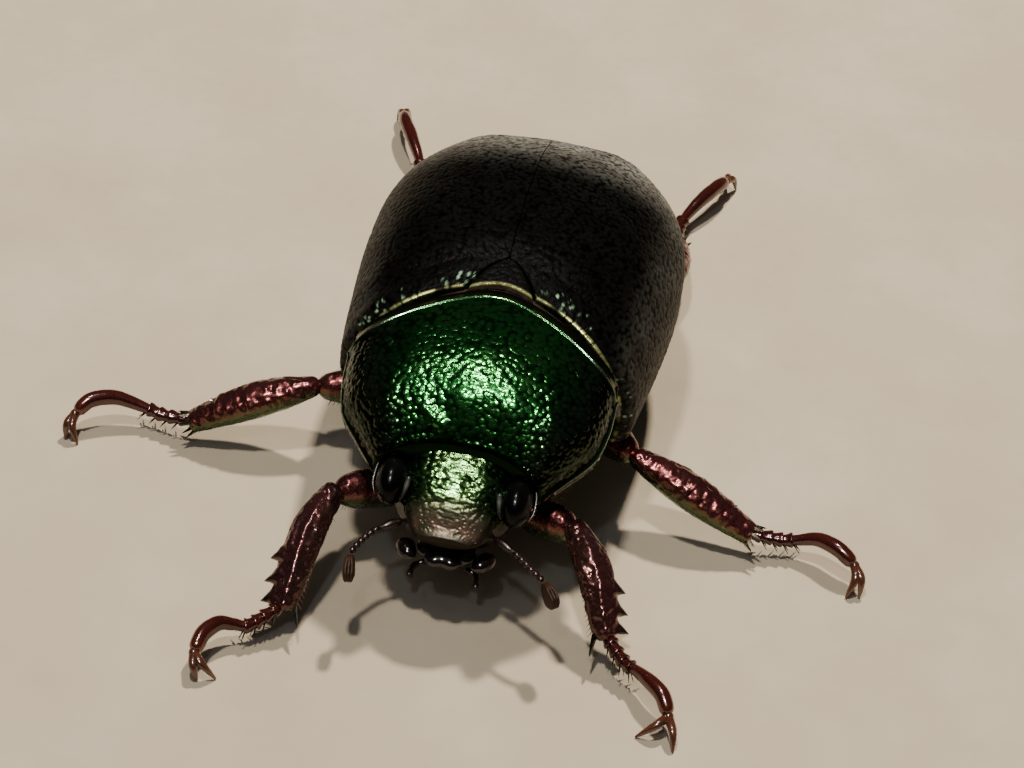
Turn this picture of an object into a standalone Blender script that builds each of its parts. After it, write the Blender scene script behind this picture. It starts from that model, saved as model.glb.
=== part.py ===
"""Granulate shining leaf chafer, life size, as a still museum model standing on its claws.

The body lies along Y with the head toward -Y, +X is the beetle's own left side, and the
claws rest at z = 0. Sizes are millimetres; every mesh is scaled to metres when it is made.
The hard upper shell is a set of closed plates: head, pronotum, scutellum and two wing cases.
"""

import math

import bmesh
import bpy
import numpy as np
from mathutils import Vector

MM = 0.001
GAP = 0.3

# Head and mouth
CLYPEUS_TIP_Y = -11.62
HEAD_BACK_Y = -9.3
EYE_CENTRE = (2.57, -9.74, 5.32)
EYE_RADII = (0.64, 1.1, 0.96)

# Pronotum, measured on its upper surface
PRONOTUM_FRONT_Y = -8.85
PRONOTUM_CORNER_Y = -9.45
PRONOTUM_CORNER_X = 3.35
PRONOTUM_BACK_Y = -1.95
PRONOTUM_EDGE_DEPTH = 0.68
BASE_BOW = 2.6
BASE_BOW_WIDTH = 5.7
BASE_BOW_ROUNDING = 0.2

# Wing cases
SHOULDER_Y = -2.9
WIDEST_Y = 4.5
APEX_Y = 11.9
APEX_CURVE_Y = 12.0
SHOULDER_HALF_WIDTH = 6.15
ELYTRA_HALF_WIDTH = 6.9
WIDEST_Z = 5.7
APEX_BLUNTNESS = 2.45
SHELL = 0.7
LIP_ANGLE = 108.0
SHELL_ROUNDING = 0.9
SCUTELLUM_LENGTH = 1.6
SCUTELLUM_HALF_WIDTH = 1.5
SCUTELLUM_DEPTH = 0.55
SCUTELLUM_START = 0.4
SCUTELLUM_REACH = 0.76
SCUTELLUM_FIT = 0.9
SEAM_STEPS = 8
ROW_CROWDING = 1.4
NOTCH_START_Y = 10.7
NOTCH_LENGTH = 1.2
NOTCH_HALF_WIDTH = 0.9

# Underside
BELLY_Z = 2.0
PROSTERNUM_END_Y = -2.3
THORAX_START_Y = -1.55
THORAX_END_Y = 5.0
SIDE_CLEARANCE = 0.35
ABDOMEN_END_Y = 10.6
TAIL_Y = 12.2

# Limbs: thickness of each stretch as a radius
FEMUR_RADIUS = 0.85
KNEE_RADIUS = 0.5
FORE_SHIN_RADII = (KNEE_RADIUS, 0.7, 0.8, 0.7, 0.5)
SHIN_RADII = (KNEE_RADIUS, 0.7, 0.8, 0.7, 0.52)
TEETH = ((0.61, 0.95), (0.77, 0.95), (0.92, 0.85))
TARSUS_RADIUS = 0.31
CLAW_RADIUS = 0.2
CLAW_KNOB = 0.27
HIP_LENGTH = 1.5
JOINT_SETBACK = GAP + 0.02
SPINE_RADIUS = 0.17
FOOT_SETBACK = 0.15
DOME_ANGLES = (0.6, 1.45)

GREEN = (0.05, 0.26, 0.10)
BLACK_GREEN = (0.015, 0.035, 0.022)
EYE_BLACK = (0.01, 0.01, 0.012)
COPPER_RED = (0.28, 0.05, 0.05)
DARK_RED = (0.13, 0.03, 0.04)
AMBER = (0.42, 0.12, 0.03)
OLIVE_BROWN = (0.12, 0.10, 0.05)


def clear_scene():
    for item in list(bpy.data.objects):
        bpy.data.objects.remove(item, do_unlink=True)


def material(name, colour, roughness, metallic):
    made = bpy.data.materials.new(name)
    made.use_nodes = True
    shader = made.node_tree.nodes["Principled BSDF"]
    shader.inputs["Base Color"].default_value = (*colour, 1.0)
    shader.inputs["Roughness"].default_value = roughness
    shader.inputs["Metallic"].default_value = metallic
    return made


def solid(name, points, faces):
    """A closed mesh object from points in millimetres."""
    mesh = bpy.data.meshes.new(name)
    mesh.from_pydata([tuple(np.asarray(point) * MM) for point in points], [], faces)
    work = bmesh.new()
    work.from_mesh(mesh)
    bmesh.ops.remove_doubles(work, verts=work.verts, dist=0.00002)
    bmesh.ops.recalc_face_normals(work, faces=work.faces)
    bmesh.ops.triangulate(work, faces=work.faces)
    work.to_mesh(mesh)
    work.free()
    item = bpy.data.objects.new(name, mesh)
    bpy.context.scene.collection.objects.link(item)
    return item


def finish(item, look):
    """Gives a node its material and smooth shading, with its edges kept."""
    item.data.materials.clear()
    item.data.materials.append(look)
    item.data.shade_smooth()
    item.data.set_sharp_from_angle(angle=math.radians(40))
    return item


def apply_modifiers(item):
    graph = bpy.context.evaluated_depsgraph_get()
    result = bpy.data.meshes.new_from_object(item.evaluated_get(graph))
    item.modifiers.clear()
    item.data = result


def keep_largest(item):
    """Keeps the largest closed surface, so no scrap or sealed hollow is left."""
    work = bmesh.new()
    work.from_mesh(item.data)
    bmesh.ops.dissolve_degenerate(work, dist=0.000004, edges=work.edges)
    bmesh.ops.triangulate(work, faces=work.faces)
    left = set(work.faces)
    shells = []
    while left:
        stack = [left.pop()]
        shell = list(stack)
        while stack:
            for edge in stack.pop().edges:
                for face in edge.link_faces:
                    if face in left:
                        left.remove(face)
                        stack.append(face)
                        shell.append(face)
        shells.append(shell)
    shells.sort(key=lambda shell: sum(face.calc_area() for face in shell))
    spare = [face for shell in shells[:-1] for face in shell]
    bmesh.ops.delete(work, geom=spare, context="FACES")
    work.to_mesh(item.data)
    work.free()


def fuse(pieces):
    """Joins closed pieces into the first one by a Boolean union."""
    body, others = pieces[0], pieces[1:]
    if not others:
        return body
    group = bpy.data.collections.new("pieces")
    for piece in others:
        group.objects.link(piece)
    union = body.modifiers.new("union", "BOOLEAN")
    union.operation = "UNION"
    union.solver = "EXACT"
    union.operand_type = "COLLECTION"
    union.collection = group
    bpy.context.view_layer.update()
    apply_modifiers(body)
    for piece in others:
        bpy.data.objects.remove(piece, do_unlink=True)
    bpy.data.collections.remove(group)
    keep_largest(body)
    return body


def cut_away(body, cutters):
    """Cuts each closed cutter out of the body, then removes the cutter."""
    for cutter in cutters:
        cutter.hide_render = True
        cutter.display_type = "WIRE"
        cut = body.modifiers.new("cut", "BOOLEAN")
        cut.operation = "DIFFERENCE"
        cut.solver = "EXACT"
        cut.object = cutter
    bpy.context.view_layer.update()
    apply_modifiers(body)
    for cutter in cutters:
        bpy.data.objects.remove(cutter, do_unlink=True)
    keep_largest(body)
    return body


def flatten_on_floor(item):
    """Cuts a foot off level with the floor, which leaves small flats to stand on."""
    work = bmesh.new()
    work.from_mesh(item.data)
    everything = work.verts[:] + work.edges[:] + work.faces[:]
    bmesh.ops.bisect_plane(
        work, geom=everything, plane_co=(0, 0, 0), plane_no=(0, 0, 1), clear_inner=True
    )
    rim = [edge for edge in work.edges if edge.is_boundary]
    bmesh.ops.holes_fill(work, edges=rim)
    bmesh.ops.triangulate(work, faces=work.faces)
    bmesh.ops.recalc_face_normals(work, faces=work.faces)
    work.to_mesh(item.data)
    work.free()


def unit(vector):
    vector = np.array(vector, float)
    return vector / np.linalg.norm(vector)


def curve(stations):
    """A smooth function through (place, value) pairs, with slopes that never overshoot."""
    place = np.array([pair[0] for pair in stations], float)
    value = np.array([pair[1] for pair in stations], float)
    run = np.diff(place)
    rise = np.diff(value) / run
    slope = np.zeros(len(place))
    slope[0], slope[-1] = rise[0], rise[-1]
    for i in range(1, len(place) - 1):
        if rise[i - 1] * rise[i] > 0:
            slope[i] = 2 * rise[i - 1] * rise[i] / (rise[i - 1] + rise[i])

    def at(where):
        where = np.clip(where, place[0], place[-1])
        i = np.clip(np.searchsorted(place, where) - 1, 0, len(run) - 1)
        t = (where - place[i]) / run[i]
        left = value[i] * (1 + 2 * t) * (1 - t) ** 2 + slope[i] * run[i] * t * (1 - t) ** 2
        right = value[i + 1] * t * t * (3 - 2 * t) - slope[i + 1] * run[i] * t * t * (1 - t)
        return left + right

    return at


def smooth_path(points, count):
    """A Catmull-Rom curve through the points, sampled evenly."""
    points = np.array(points, float)
    padded = np.vstack([2 * points[0] - points[1], points, 2 * points[-1] - points[-2]])
    dense = []
    for i in range(len(points) - 1):
        a, b, c, d = padded[i : i + 4]
        for t in np.linspace(0, 1, 24, endpoint=False):
            dense.append(
                0.5 * (2 * b + (c - a) * t + (2 * a - 5 * b + 4 * c - d) * t**2
                       + (3 * b - a - 3 * c + d) * t**3)
            )
    dense = np.array(dense + [points[-1]])
    length = np.concatenate([[0], np.cumsum(np.linalg.norm(np.diff(dense, axis=0), axis=1))])
    even = np.linspace(0, length[-1], count)
    return np.stack([np.interp(even, length, dense[:, k]) for k in range(3)], 1)


def loft(name, rings, end_places=(None, None)):
    """A closed solid through rings of equal point counts, with a fan over each end.

    The middle of an end's fan is the mean of its ring, or lies at the given place along Y.
    """
    rings = [np.asarray(ring, float) for ring in rings]
    count = len(rings[0])
    points = [point for ring in rings for point in ring]
    for ring, place in zip((rings[0], rings[-1]), end_places):
        middle = ring.mean(0)
        if place is not None:
            middle[1] = place
        points.append(middle)
    first, last = len(points) - 2, len(points) - 1
    faces = []
    for i in range(len(rings) - 1):
        for j in range(count):
            k = (j + 1) % count
            faces.append((i * count + j, i * count + k, (i + 1) * count + k, (i + 1) * count + j))
    base = (len(rings) - 1) * count
    for j in range(count):
        k = (j + 1) % count
        faces.append((k, j, first))
        faces.append((base + j, base + k, last))
    return solid(name, points, faces)


def limb(name, points, radii, sides=10, rings=6, flat=1.0, up=(0, 0, 1), domes=(True, True)):
    """A round or flattened tube along a smooth path, its radius given at even stations."""
    path = smooth_path(points, rings)
    share = np.linspace(0, 1, rings)
    stations = np.linspace(0, 1, len(radii))
    radius = curve(list(zip(stations, radii)))(share)
    tangents = np.gradient(path, axis=0)
    tangents /= np.linalg.norm(tangents, axis=1)[:, None]
    spots = list(zip(path, tangents, radius))
    if domes[0]:
        spot, tangent, size = spots[0]
        spots[0:1] = [(spot + tangent * size * (1 - math.cos(a)), tangent, size * math.sin(a))
                      for a in DOME_ANGLES]
    if domes[1]:
        spot, tangent, size = spots[-1]
        spots[-1:] = [(spot - tangent * size * (1 - math.cos(a)), tangent, size * math.sin(a))
                      for a in DOME_ANGLES[::-1]]
    angles = np.linspace(0, 2 * math.pi, sides, endpoint=False)
    made = []
    for spot, tangent, size in spots:
        across = np.cross(tangent, np.array(up, float))
        across /= np.linalg.norm(across)
        lift = np.cross(across, tangent)
        made.append([spot + size * (math.cos(a) * across * flat + math.sin(a) * lift)
                     for a in angles])
    return loft(name, made)


def spike(base, tip, radius=SPINE_RADIUS, sides=5):
    """A straight spine: a slender cone whose root is sunk in the limb that bears it."""
    base, tip = np.array(base, float), np.array(tip, float)
    along = unit(tip - base)
    across = unit(np.cross(along, (0.31, 0.17, 0.93)))
    lift = np.cross(across, along)
    turns = np.linspace(0, 2 * math.pi, sides, endpoint=False)
    rim = [base + radius * (math.cos(a) * across + math.sin(a) * lift) for a in turns]
    faces = [(k, (k + 1) % sides, sides) for k in range(sides)] + [tuple(range(sides))[::-1]]
    return solid("spike", rim + [tip], faces)


def ellipsoid(name, centre, radii, columns=20, rows=12):
    points = []
    for i in range(1, rows):
        lat = math.pi * i / rows
        for j in range(columns):
            lon = 2 * math.pi * j / columns
            points.append((math.sin(lat) * math.cos(lon), math.sin(lat) * math.sin(lon),
                           math.cos(lat)))
    points = np.array(points)
    rings = [np.array(centre) + points[i * columns : (i + 1) * columns] * np.array(radii)
             for i in range(rows - 1)]
    return loft(name, rings)


# Shared form of the shell: every plate reads these curves, so that they meet in one outline.

shell_top = curve([(-2.9, 9.55), (0.0, 10.5), (2.5, 10.8), (6.0, 10.45), (8.6, 9.5), (10.3, 8.45),
                   (11.4, 7.1), (12.0, 6.1)])


def shell_half_width(y):
    """Half the width of the wing cases: shoulders, long swelling, blunt round apex."""
    y = np.asarray(y, float)
    ahead = np.clip((y - SHOULDER_Y) / (WIDEST_Y - SHOULDER_Y), 0, 1)
    swell = SHOULDER_HALF_WIDTH + (ELYTRA_HALF_WIDTH - SHOULDER_HALF_WIDTH) * np.sin(ahead * math.pi / 2)
    shoulder = 1 - 0.10 * np.clip((SHOULDER_Y + 1.0 - y) / 1.0, 0, 1) ** 2
    behind = np.clip((y - WIDEST_Y) / (APEX_CURVE_Y - WIDEST_Y), 0, 1)
    return swell * shoulder * np.sqrt(np.clip(1 - behind**APEX_BLUNTNESS, 0, 1))


def base_line(x):
    """The line where the pronotum meets the wing cases: a rounded V, furthest back at the middle."""
    reach = np.hypot(x / BASE_BOW_WIDTH, BASE_BOW_ROUNDING) - BASE_BOW_ROUNDING
    return PRONOTUM_BACK_Y - BASE_BOW * reach / (math.hypot(1, BASE_BOW_ROUNDING) - BASE_BOW_ROUNDING)


def scutellum_edge(y):
    """Half the width of the scutellum, a wide rounded tongue behind the pronotum."""
    reach = np.clip((PRONOTUM_BACK_Y + SCUTELLUM_LENGTH - y) / SCUTELLUM_LENGTH, 0, 1)
    return SCUTELLUM_HALF_WIDTH * reach**0.6


def suture_edge(y):
    """Distance of a wing case's inner edge from the middle line."""
    y = np.asarray(y, float)
    notch = np.clip((y - NOTCH_START_Y) / NOTCH_LENGTH, 0, 1) ** 2 * NOTCH_HALF_WIDTH
    front = np.where(scutellum_edge(y) > 0, scutellum_edge(y) + GAP * 0.5, 0)
    return GAP * 0.5 + notch + front


def dome_point(y, angle, half, top, inner=0.0):
    """A point on the arched shell: angle 0 at the middle line, 90 at the widest line."""
    sine = np.sign(math.sin(angle)) * abs(math.sin(angle)) ** SHELL_ROUNDING
    cosine = np.sign(math.cos(angle)) * abs(math.cos(angle)) ** SHELL_ROUNDING
    x = inner + (half - inner) * sine
    return x, WIDEST_Z + (top - WIDEST_Z) * cosine


def shell_row(share, last_y):
    """Where along the shell a row stands: rows crowd toward the rounded apex."""
    return SHOULDER_Y + (last_y - SHOULDER_Y) * math.sin(share * math.pi / 2) ** 0.9


def seam_place(y, share):
    """Where a row's first point lies, once the row is bent forward to the base line."""
    place = y
    for _ in range(SEAM_STEPS):
        bend = base_line(float(suture_edge(place))) + GAP - SHOULDER_Y
        place = y + bend * (1 - share) ** 3
    return float(place)


def seam_top(y):
    """Height of the bent shell beside the middle line."""
    shares = np.linspace(0, 1, 80)
    rows = np.array([shell_row(share, APEX_Y) for share in shares])
    places = [seam_place(row, share) for row, share in zip(rows, shares)]
    return float(np.interp(y, places, shell_top(rows)))


def wing_case(side):
    """One wing case: an arched shell with a thick rim, its apex rounded on its own."""
    rows, columns = 21, 12

    def surface(inset, last_y):
        grid = []
        for share in np.linspace(0, 1, rows) ** ROW_CROWDING:
            y = shell_row(share, last_y)
            inner = float(suture_edge(seam_place(y, share)))
            half = float(shell_half_width(y)) - inset
            line = []
            for angle in np.linspace(0, math.radians(LIP_ANGLE), columns):
                x, z = dome_point(y, angle, half, float(shell_top(y)) - inset, inner)
                lead = (base_line(x) + GAP - SHOULDER_Y) * (1 - share) ** 3
                line.append((side * x, y + lead, z))
            grid.append(line)
        return np.array(grid)

    outer = surface(0.0, APEX_Y)
    inner = surface(SHELL, APEX_Y - 1.0)
    points = np.concatenate([outer.reshape(-1, 3), inner.reshape(-1, 3)])
    offset = rows * columns
    faces = []

    def quad(i, j, shift):
        a = shift + i * columns + j
        return (a, a + 1, a + columns + 1, a + columns)

    for i in range(rows - 1):
        for j in range(columns - 1):
            faces.append(quad(i, j, 0))
            faces.append(quad(i, j, offset)[::-1])
    border = list(range(columns))
    border += [i * columns + columns - 1 for i in range(1, rows)]
    border += [(rows - 1) * columns + j for j in range(columns - 2, -1, -1)]
    border += [i * columns for i in range(rows - 2, 0, -1)]
    for a, b in zip(border, border[1:] + border[:1]):
        faces.append((a, b, b + offset, a + offset))
    name = "elytron_left" if side > 0 else "elytron_right"
    return solid(name, points, faces)


def scutellum():
    """The small triangular plate between the bases of the wing cases."""
    rings = []
    for share in np.linspace(0, 0.93, 7):
        y = PRONOTUM_BACK_Y + SCUTELLUM_START + SCUTELLUM_LENGTH * SCUTELLUM_REACH * share
        half = float(scutellum_edge(y)) * SCUTELLUM_FIT
        top = seam_top(y) - 0.06
        across = np.linspace(-half, half, 6)
        lines = [y + (float(base_line(x)) - PRONOTUM_BACK_Y) * (1 - share) ** 2 for x in across]
        ring = [(x, line, top - 0.03 * x * x) for x, line in zip(across, lines)]
        ring += [(x, line, top - SCUTELLUM_DEPTH) for x, line in zip(across[::-1], lines[::-1])]
        rings.append(ring)
    return loft("scutellum", rings)


def eye_hollows():
    """The hollows that hold the two eyes, a gap wider than the eyes all round."""
    hollows = []
    for side in (-1, 1):
        centre = (side * EYE_CENTRE[0], EYE_CENTRE[1], EYE_CENTRE[2])
        radii = [radius + GAP for radius in EYE_RADII]
        hollows.append(ellipsoid("hollow", centre, radii, 16, 10))
    return hollows


pronotum_half = curve([(0.0, 3.5), (0.15, 4.25), (0.45, 5.35), (0.75, 5.6), (1.0, 5.6)])
pronotum_top = curve([(0.0, 7.0), (0.1, 7.85), (0.3, 8.95), (0.53, 9.45), (0.75, 9.65), (1.0, 9.7)])
pronotum_edge = curve([(0.0, 5.35), (0.45, 6.0), (0.75, 6.7), (1.0, 7.6)])


def pronotum_place(x, share):
    """Front to back place on the pronotum, with a bowed hind line and forward corners."""
    corner = np.clip(abs(x) / PRONOTUM_CORNER_X, 0, 1) ** 2.5
    front = PRONOTUM_FRONT_Y + (PRONOTUM_CORNER_Y - PRONOTUM_FRONT_Y) * corner
    return front + (base_line(x) - front) * share


def pronotum():
    """The broad shield over the forebody, convex both ways, with sharp forward corners."""
    rings = []
    for share in np.linspace(0, 1, 13) ** 1.15:
        half, top, edge = (float(f(share)) for f in (pronotum_half, pronotum_top, pronotum_edge))
        ring = []
        for angle in np.linspace(-math.pi / 2, math.pi / 2, 23):
            sine = math.copysign(abs(math.sin(angle)) ** SHELL_ROUNDING, angle)
            x = half * sine
            z = edge + (top - edge) * abs(math.cos(angle)) ** SHELL_ROUNDING
            ring.append((x, float(pronotum_place(x, share)), z))
        for x in np.linspace(half * 0.93, -half * 0.93, 9):
            lift = 0.25 * (1 - (x / half) ** 2)
            ring.append((x, float(pronotum_place(x, share)), edge - PRONOTUM_EDGE_DEPTH - lift))
        rings.append(ring)
    body = loft("pronotum", rings, (PRONOTUM_FRONT_Y, PRONOTUM_BACK_Y))
    return cut_away(body, eye_hollows())


def prosternum():
    """The underside of the forebody, between the front legs."""
    half = curve([(0, 2.6), (0.3, 4.1), (0.65, 4.5), (1, 3.9)])
    low = curve([(0, 3.2), (0.4, 2.3), (1, 2.2)])
    high = curve([(0, 3.9), (0.5, 4.5), (1, 5.1)])
    rings = []
    for share in np.linspace(0, 1, 9):
        y = PRONOTUM_FRONT_Y + 0.1 + (PROSTERNUM_END_Y - PRONOTUM_FRONT_Y - 0.1) * share
        top, bottom = float(high(share)), float(low(share))
        ring = []
        for angle in np.linspace(0, 2 * math.pi, 20, endpoint=False):
            x = float(half(share)) * math.copysign(abs(math.cos(angle)) ** 0.7, math.cos(angle))
            if math.sin(angle) >= 0:
                z = top - 0.5 * (1 - math.sin(angle)) ** 2
            else:
                z = top - 0.5 + (top - 0.5 - bottom) * math.sin(angle)
            ring.append((x, y, z))
        rings.append(ring)
    return loft("prosternum", rings)


def trunk(name, first_y, last_y, low, rows):
    """A stretch of the body under the wing cases, a gap inside their inner face."""
    rings = []
    for share in np.linspace(0, 1, rows):
        y = first_y + (last_y - first_y) * share
        half = float(shell_half_width(y)) - SHELL - GAP - SIDE_CLEARANCE
        top = float(shell_top(y)) - SHELL - GAP - 0.1
        bottom = float(low(y))
        ring = []
        for angle in np.linspace(0, 2 * math.pi, 22, endpoint=False):
            sine, cosine = math.sin(angle), math.cos(angle)
            x = half * math.copysign(abs(sine) ** SHELL_ROUNDING, sine)
            height = (top - WIDEST_Z) if cosine > 0 else (WIDEST_Z - bottom)
            z = WIDEST_Z + height * math.copysign(abs(cosine) ** SHELL_ROUNDING, cosine)
            ring.append((x, y, z))
        rings.append(ring)
    return loft(name, rings)


def pygidium():
    """The tail plate: a low convex shield that closes the body below the wing case tips."""
    half = curve([(0, 3.0), (0.4, 2.7), (0.8, 1.7), (1, 0.7)])
    top = curve([(0, 4.85), (0.5, 4.8), (1, 4.5)])
    low = curve([(0, 3.75), (0.5, 3.8), (1, 4.25)])
    rings = []
    for share in np.linspace(0, 1, 7) ** 0.8:
        y = ABDOMEN_END_Y + GAP + (TAIL_Y - ABDOMEN_END_Y - GAP) * share
        middle = (float(top(share)) + float(low(share))) / 2
        height = (float(top(share)) - float(low(share))) / 2
        rings.append([(float(half(share)) * math.cos(a), y - 0.25 * share * math.cos(a) ** 2,
                       middle + height * math.sin(a))
                      for a in np.linspace(0, 2 * math.pi, 16, endpoint=False)])
    return loft("pygidium", rings, (ABDOMEN_END_Y + GAP, TAIL_Y))


head_half = curve([(-11.62, 1.05), (-11.4, 1.4), (-11.0, 1.7), (-10.5, 2.0), (-10.0, 2.35),
                   (-9.6, 2.5), (-8.95, 2.45)])
head_top = curve([(-11.62, 4.3), (-11.4, 4.6), (-10.9, 5.15), (-10.3, 5.75), (-9.6, 6.3),
                  (-8.95, 6.5)])
head_low = curve([(-11.62, 3.95), (-11.1, 3.75), (-10.6, 3.1), (-9.6, 2.9), (-8.95, 3.1)])


def head():
    """Flat-fronted head: a broad forehead running down to a rounded, thin-edged clypeus."""
    rings = []
    for share in np.linspace(0, 1, 13) ** 1.2:
        y = CLYPEUS_TIP_Y + (HEAD_BACK_Y - CLYPEUS_TIP_Y) * share
        half, top, low = float(head_half(y)), float(head_top(y)), float(head_low(y))
        middle = low + (top - low) * (0.45 if y > -11.0 else 0.35)
        ring = []
        for angle in np.linspace(0, 2 * math.pi, 24, endpoint=False):
            sine, cosine = math.sin(angle), math.cos(angle)
            x = half * math.copysign(abs(cosine) ** 0.75, cosine)
            height = (top - middle) if sine > 0 else (middle - low)
            z = middle + height * math.copysign(abs(sine) ** 0.8, sine)
            lead = (PRONOTUM_CORNER_Y - PRONOTUM_FRONT_Y) * (abs(x) / PRONOTUM_CORNER_X) ** 2.5 * share**3
            ring.append((x, y + 0.10 * (x / half) ** 2 * (1 - share) + lead, z))
        rings.append(ring)
    return cut_away(loft("head", rings, (None, HEAD_BACK_Y)), eye_hollows())


def eye(side):
    name = "eye_left" if side > 0 else "eye_right"
    centre = (side * EYE_CENTRE[0], EYE_CENTRE[1], EYE_CENTRE[2])
    return ellipsoid(name, centre, EYE_RADII, 16, 10)


def mouth_pieces():
    """Labrum, mandibles and maxillary palps, in front of and below the clypeus."""
    made = [ellipsoid("labrum", (0, -11.42, 3.02), (0.75, 0.5, 0.3), 14, 8)]
    for side, word in ((1, "left"), (-1, "right")):
        jaw = limb("mandible_" + word,
                   [(side * 1.6, -10.2, 2.28), (side * 1.7, -10.85, 2.74), (side * 1.25, -11.5, 2.74)],
                   [0.34, 0.4, 0.28], 9, 5)
        palp = limb("palp_" + word,
                    [(side * 0.8, -10.4, 1.8), (side * 1.3, -10.75, 1.75), (side * 1.4, -11.35, 1.6)],
                    [0.25, 0.27, 0.3, 0.24], 7, 6)
        made += [jaw, palp]
    return made


ANTENNA_STALKS = {
    "left": [(2.12, -10.7, 4.05), (2.9, -11.2, 3.95), (3.7, -11.75, 3.75), (4.25, -12.05, 3.55)],
    "right": [(-2.12, -10.65, 4.05), (-2.85, -11.35, 3.95), (-3.35, -12.1, 3.8), (-3.6, -12.55, 3.6)],
}
CLUB_AIMS = {"left": (0.55, -0.66, -0.42), "right": (0.12, -0.72, -0.62)}
CLUB_LENGTH = 1.2


def antenna(word):
    """The stalk from the head to the club."""
    return limb("antenna_" + word, ANTENNA_STALKS[word], [0.27, 0.25, 0.25, 0.27], 8, 7)


def antenna_club(word):
    """Three leaves of the club, joined at their root and slightly fanned."""
    end = np.array(ANTENNA_STALKS[word][-1])
    aim = unit(CLUB_AIMS[word])
    across = unit(np.cross(aim, (0, 0, 1)))
    root = end + aim * JOINT_SETBACK
    leaves = []
    for turn in (-1, 0, 1):
        tip = root + aim * CLUB_LENGTH + across * 0.42 * turn
        middle = root + aim * CLUB_LENGTH * 0.5 + across * 0.3 * turn
        start = root + across * 0.05 * turn
        leaves.append(limb("antenna_club_" + word, [start, middle, tip], [0.26, 0.44, 0.34],
                           8, 4, flat=0.55, up=np.cross(across, aim)))
    return fuse(leaves)


# Legs: joints in order from the body to the floor, for the beetle's own left and right side.

LEGS = {
    "fore_left": dict(
        femur=[(2.3, -7.2, 2.6), (3.6, -7.9, 3.0), (4.85, -8.6, 3.45)],
        tibia=[(4.85, -8.6, 3.45), (6.08, -10.25, 2.8), (7.07, -12.3, 1.15)],
        tarsus=[(7.3, -12.6, 1.05), (7.9, -13.0, 0.95), (8.5, -13.4, 0.95), (9.1, -14.0, 1.15),
                (9.75, -14.6, 1.1), (10.05, -15.1, 0.8)],
        claws=[(9.0, -16.1, 0), (10.6, -16.5, 0)]),
    "fore_right": dict(
        femur=[(-2.3, -7.2, 2.6), (-3.6, -8.1, 3.1), (-5.05, -9.3, 3.65)],
        tibia=[(-5.05, -9.3, 3.65), (-5.72, -11.25, 2.85), (-6.0, -14.1, 1.1)],
        tarsus=[(-6.3, -14.5, 0.95), (-7.1, -14.9, 0.85), (-7.7, -15.1, 0.9), (-8.25, -15.4, 1.1),
                (-8.7, -16.1, 1.1), (-8.8, -16.75, 0.9)],
        claws=[(-8.5, -17.7, 0), (-7.8, -17.4, 0)]),
    "mid_left": dict(
        femur=[(3.0, -1.0, 2.7), (4.8, -1.9, 2.9), (6.5, -3.1, 2.95)],
        tibia=[(6.5, -3.1, 2.95), (9.0, -3.8, 2.2), (12.0, -4.5, 0.95)],
        tarsus=[(12.4, -4.45, 0.85), (13.1, -4.2, 0.8), (13.8, -4.1, 0.85), (14.7, -4.15, 1.15),
                (15.6, -4.6, 1.25), (16.2, -4.95, 1.0)],
        claws=[(16.8, -6.0, 0), (16.25, -6.15, 0)]),
    "mid_right": dict(
        femur=[(-3.0, -1.0, 2.7), (-5.2, -1.8, 2.9), (-7.55, -2.6, 3.05)],
        tibia=[(-7.55, -2.6, 3.05), (-10.0, -3.2, 2.2), (-12.8, -4.05, 0.9)],
        tarsus=[(-13.2, -3.95, 0.8), (-13.9, -3.75, 0.8), (-14.7, -3.6, 0.85), (-16.1, -3.7, 1.25),
                (-17.1, -4.2, 1.3), (-17.5, -4.65, 1.0)],
        claws=[(-17.85, -5.55, 0), (-17.25, -5.75, 0)]),
    "hind_left": dict(
        femur=[(2.9, 4.6, 2.6), (4.2, 6.3, 2.6), (5.5, 8.2, 2.7)],
        tibia=[(5.5, 8.2, 2.7), (5.8, 10.9, 2.0), (5.75, 14.0, 1.0)],
        tarsus=[(5.65, 14.45, 0.9), (5.55, 15.3, 0.8), (5.75, 16.4, 0.8), (6.3, 17.5, 1.1),
                (6.85, 18.6, 1.15), (7.15, 19.4, 0.95)],
        claws=[(7.7, 20.2, 0), (7.1, 20.45, 0)]),
    "hind_right": dict(
        femur=[(-2.9, 4.6, 2.6), (-4.5, 6.3, 2.7), (-6.1, 8.3, 2.9)],
        tibia=[(-6.1, 8.3, 2.9), (-6.7, 11.2, 2.3), (-7.0, 14.8, 1.1)],
        tarsus=[(-7.05, 15.2, 0.9), (-7.1, 16.0, 0.8), (-7.35, 17.0, 0.8), (-7.95, 18.1, 1.15),
                (-8.6, 19.4, 1.15), (-8.85, 20.2, 0.9)],
        claws=[(-9.35, 20.95, 0), (-8.7, 21.15, 0)]),
}


def femur(leg, joints):
    """Thigh: stout and slightly flattened, with a round knee."""
    hip, middle, knee = (np.array(point, float) for point in joints["femur"])
    end = knee - unit(knee - middle) * (KNEE_RADIUS + GAP)
    return limb(leg + "_femur", [hip, middle, end], [0.6, FEMUR_RADIUS, FEMUR_RADIUS * 0.95, 0.68],
                10, 7, flat=0.8, domes=(True, False))


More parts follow.
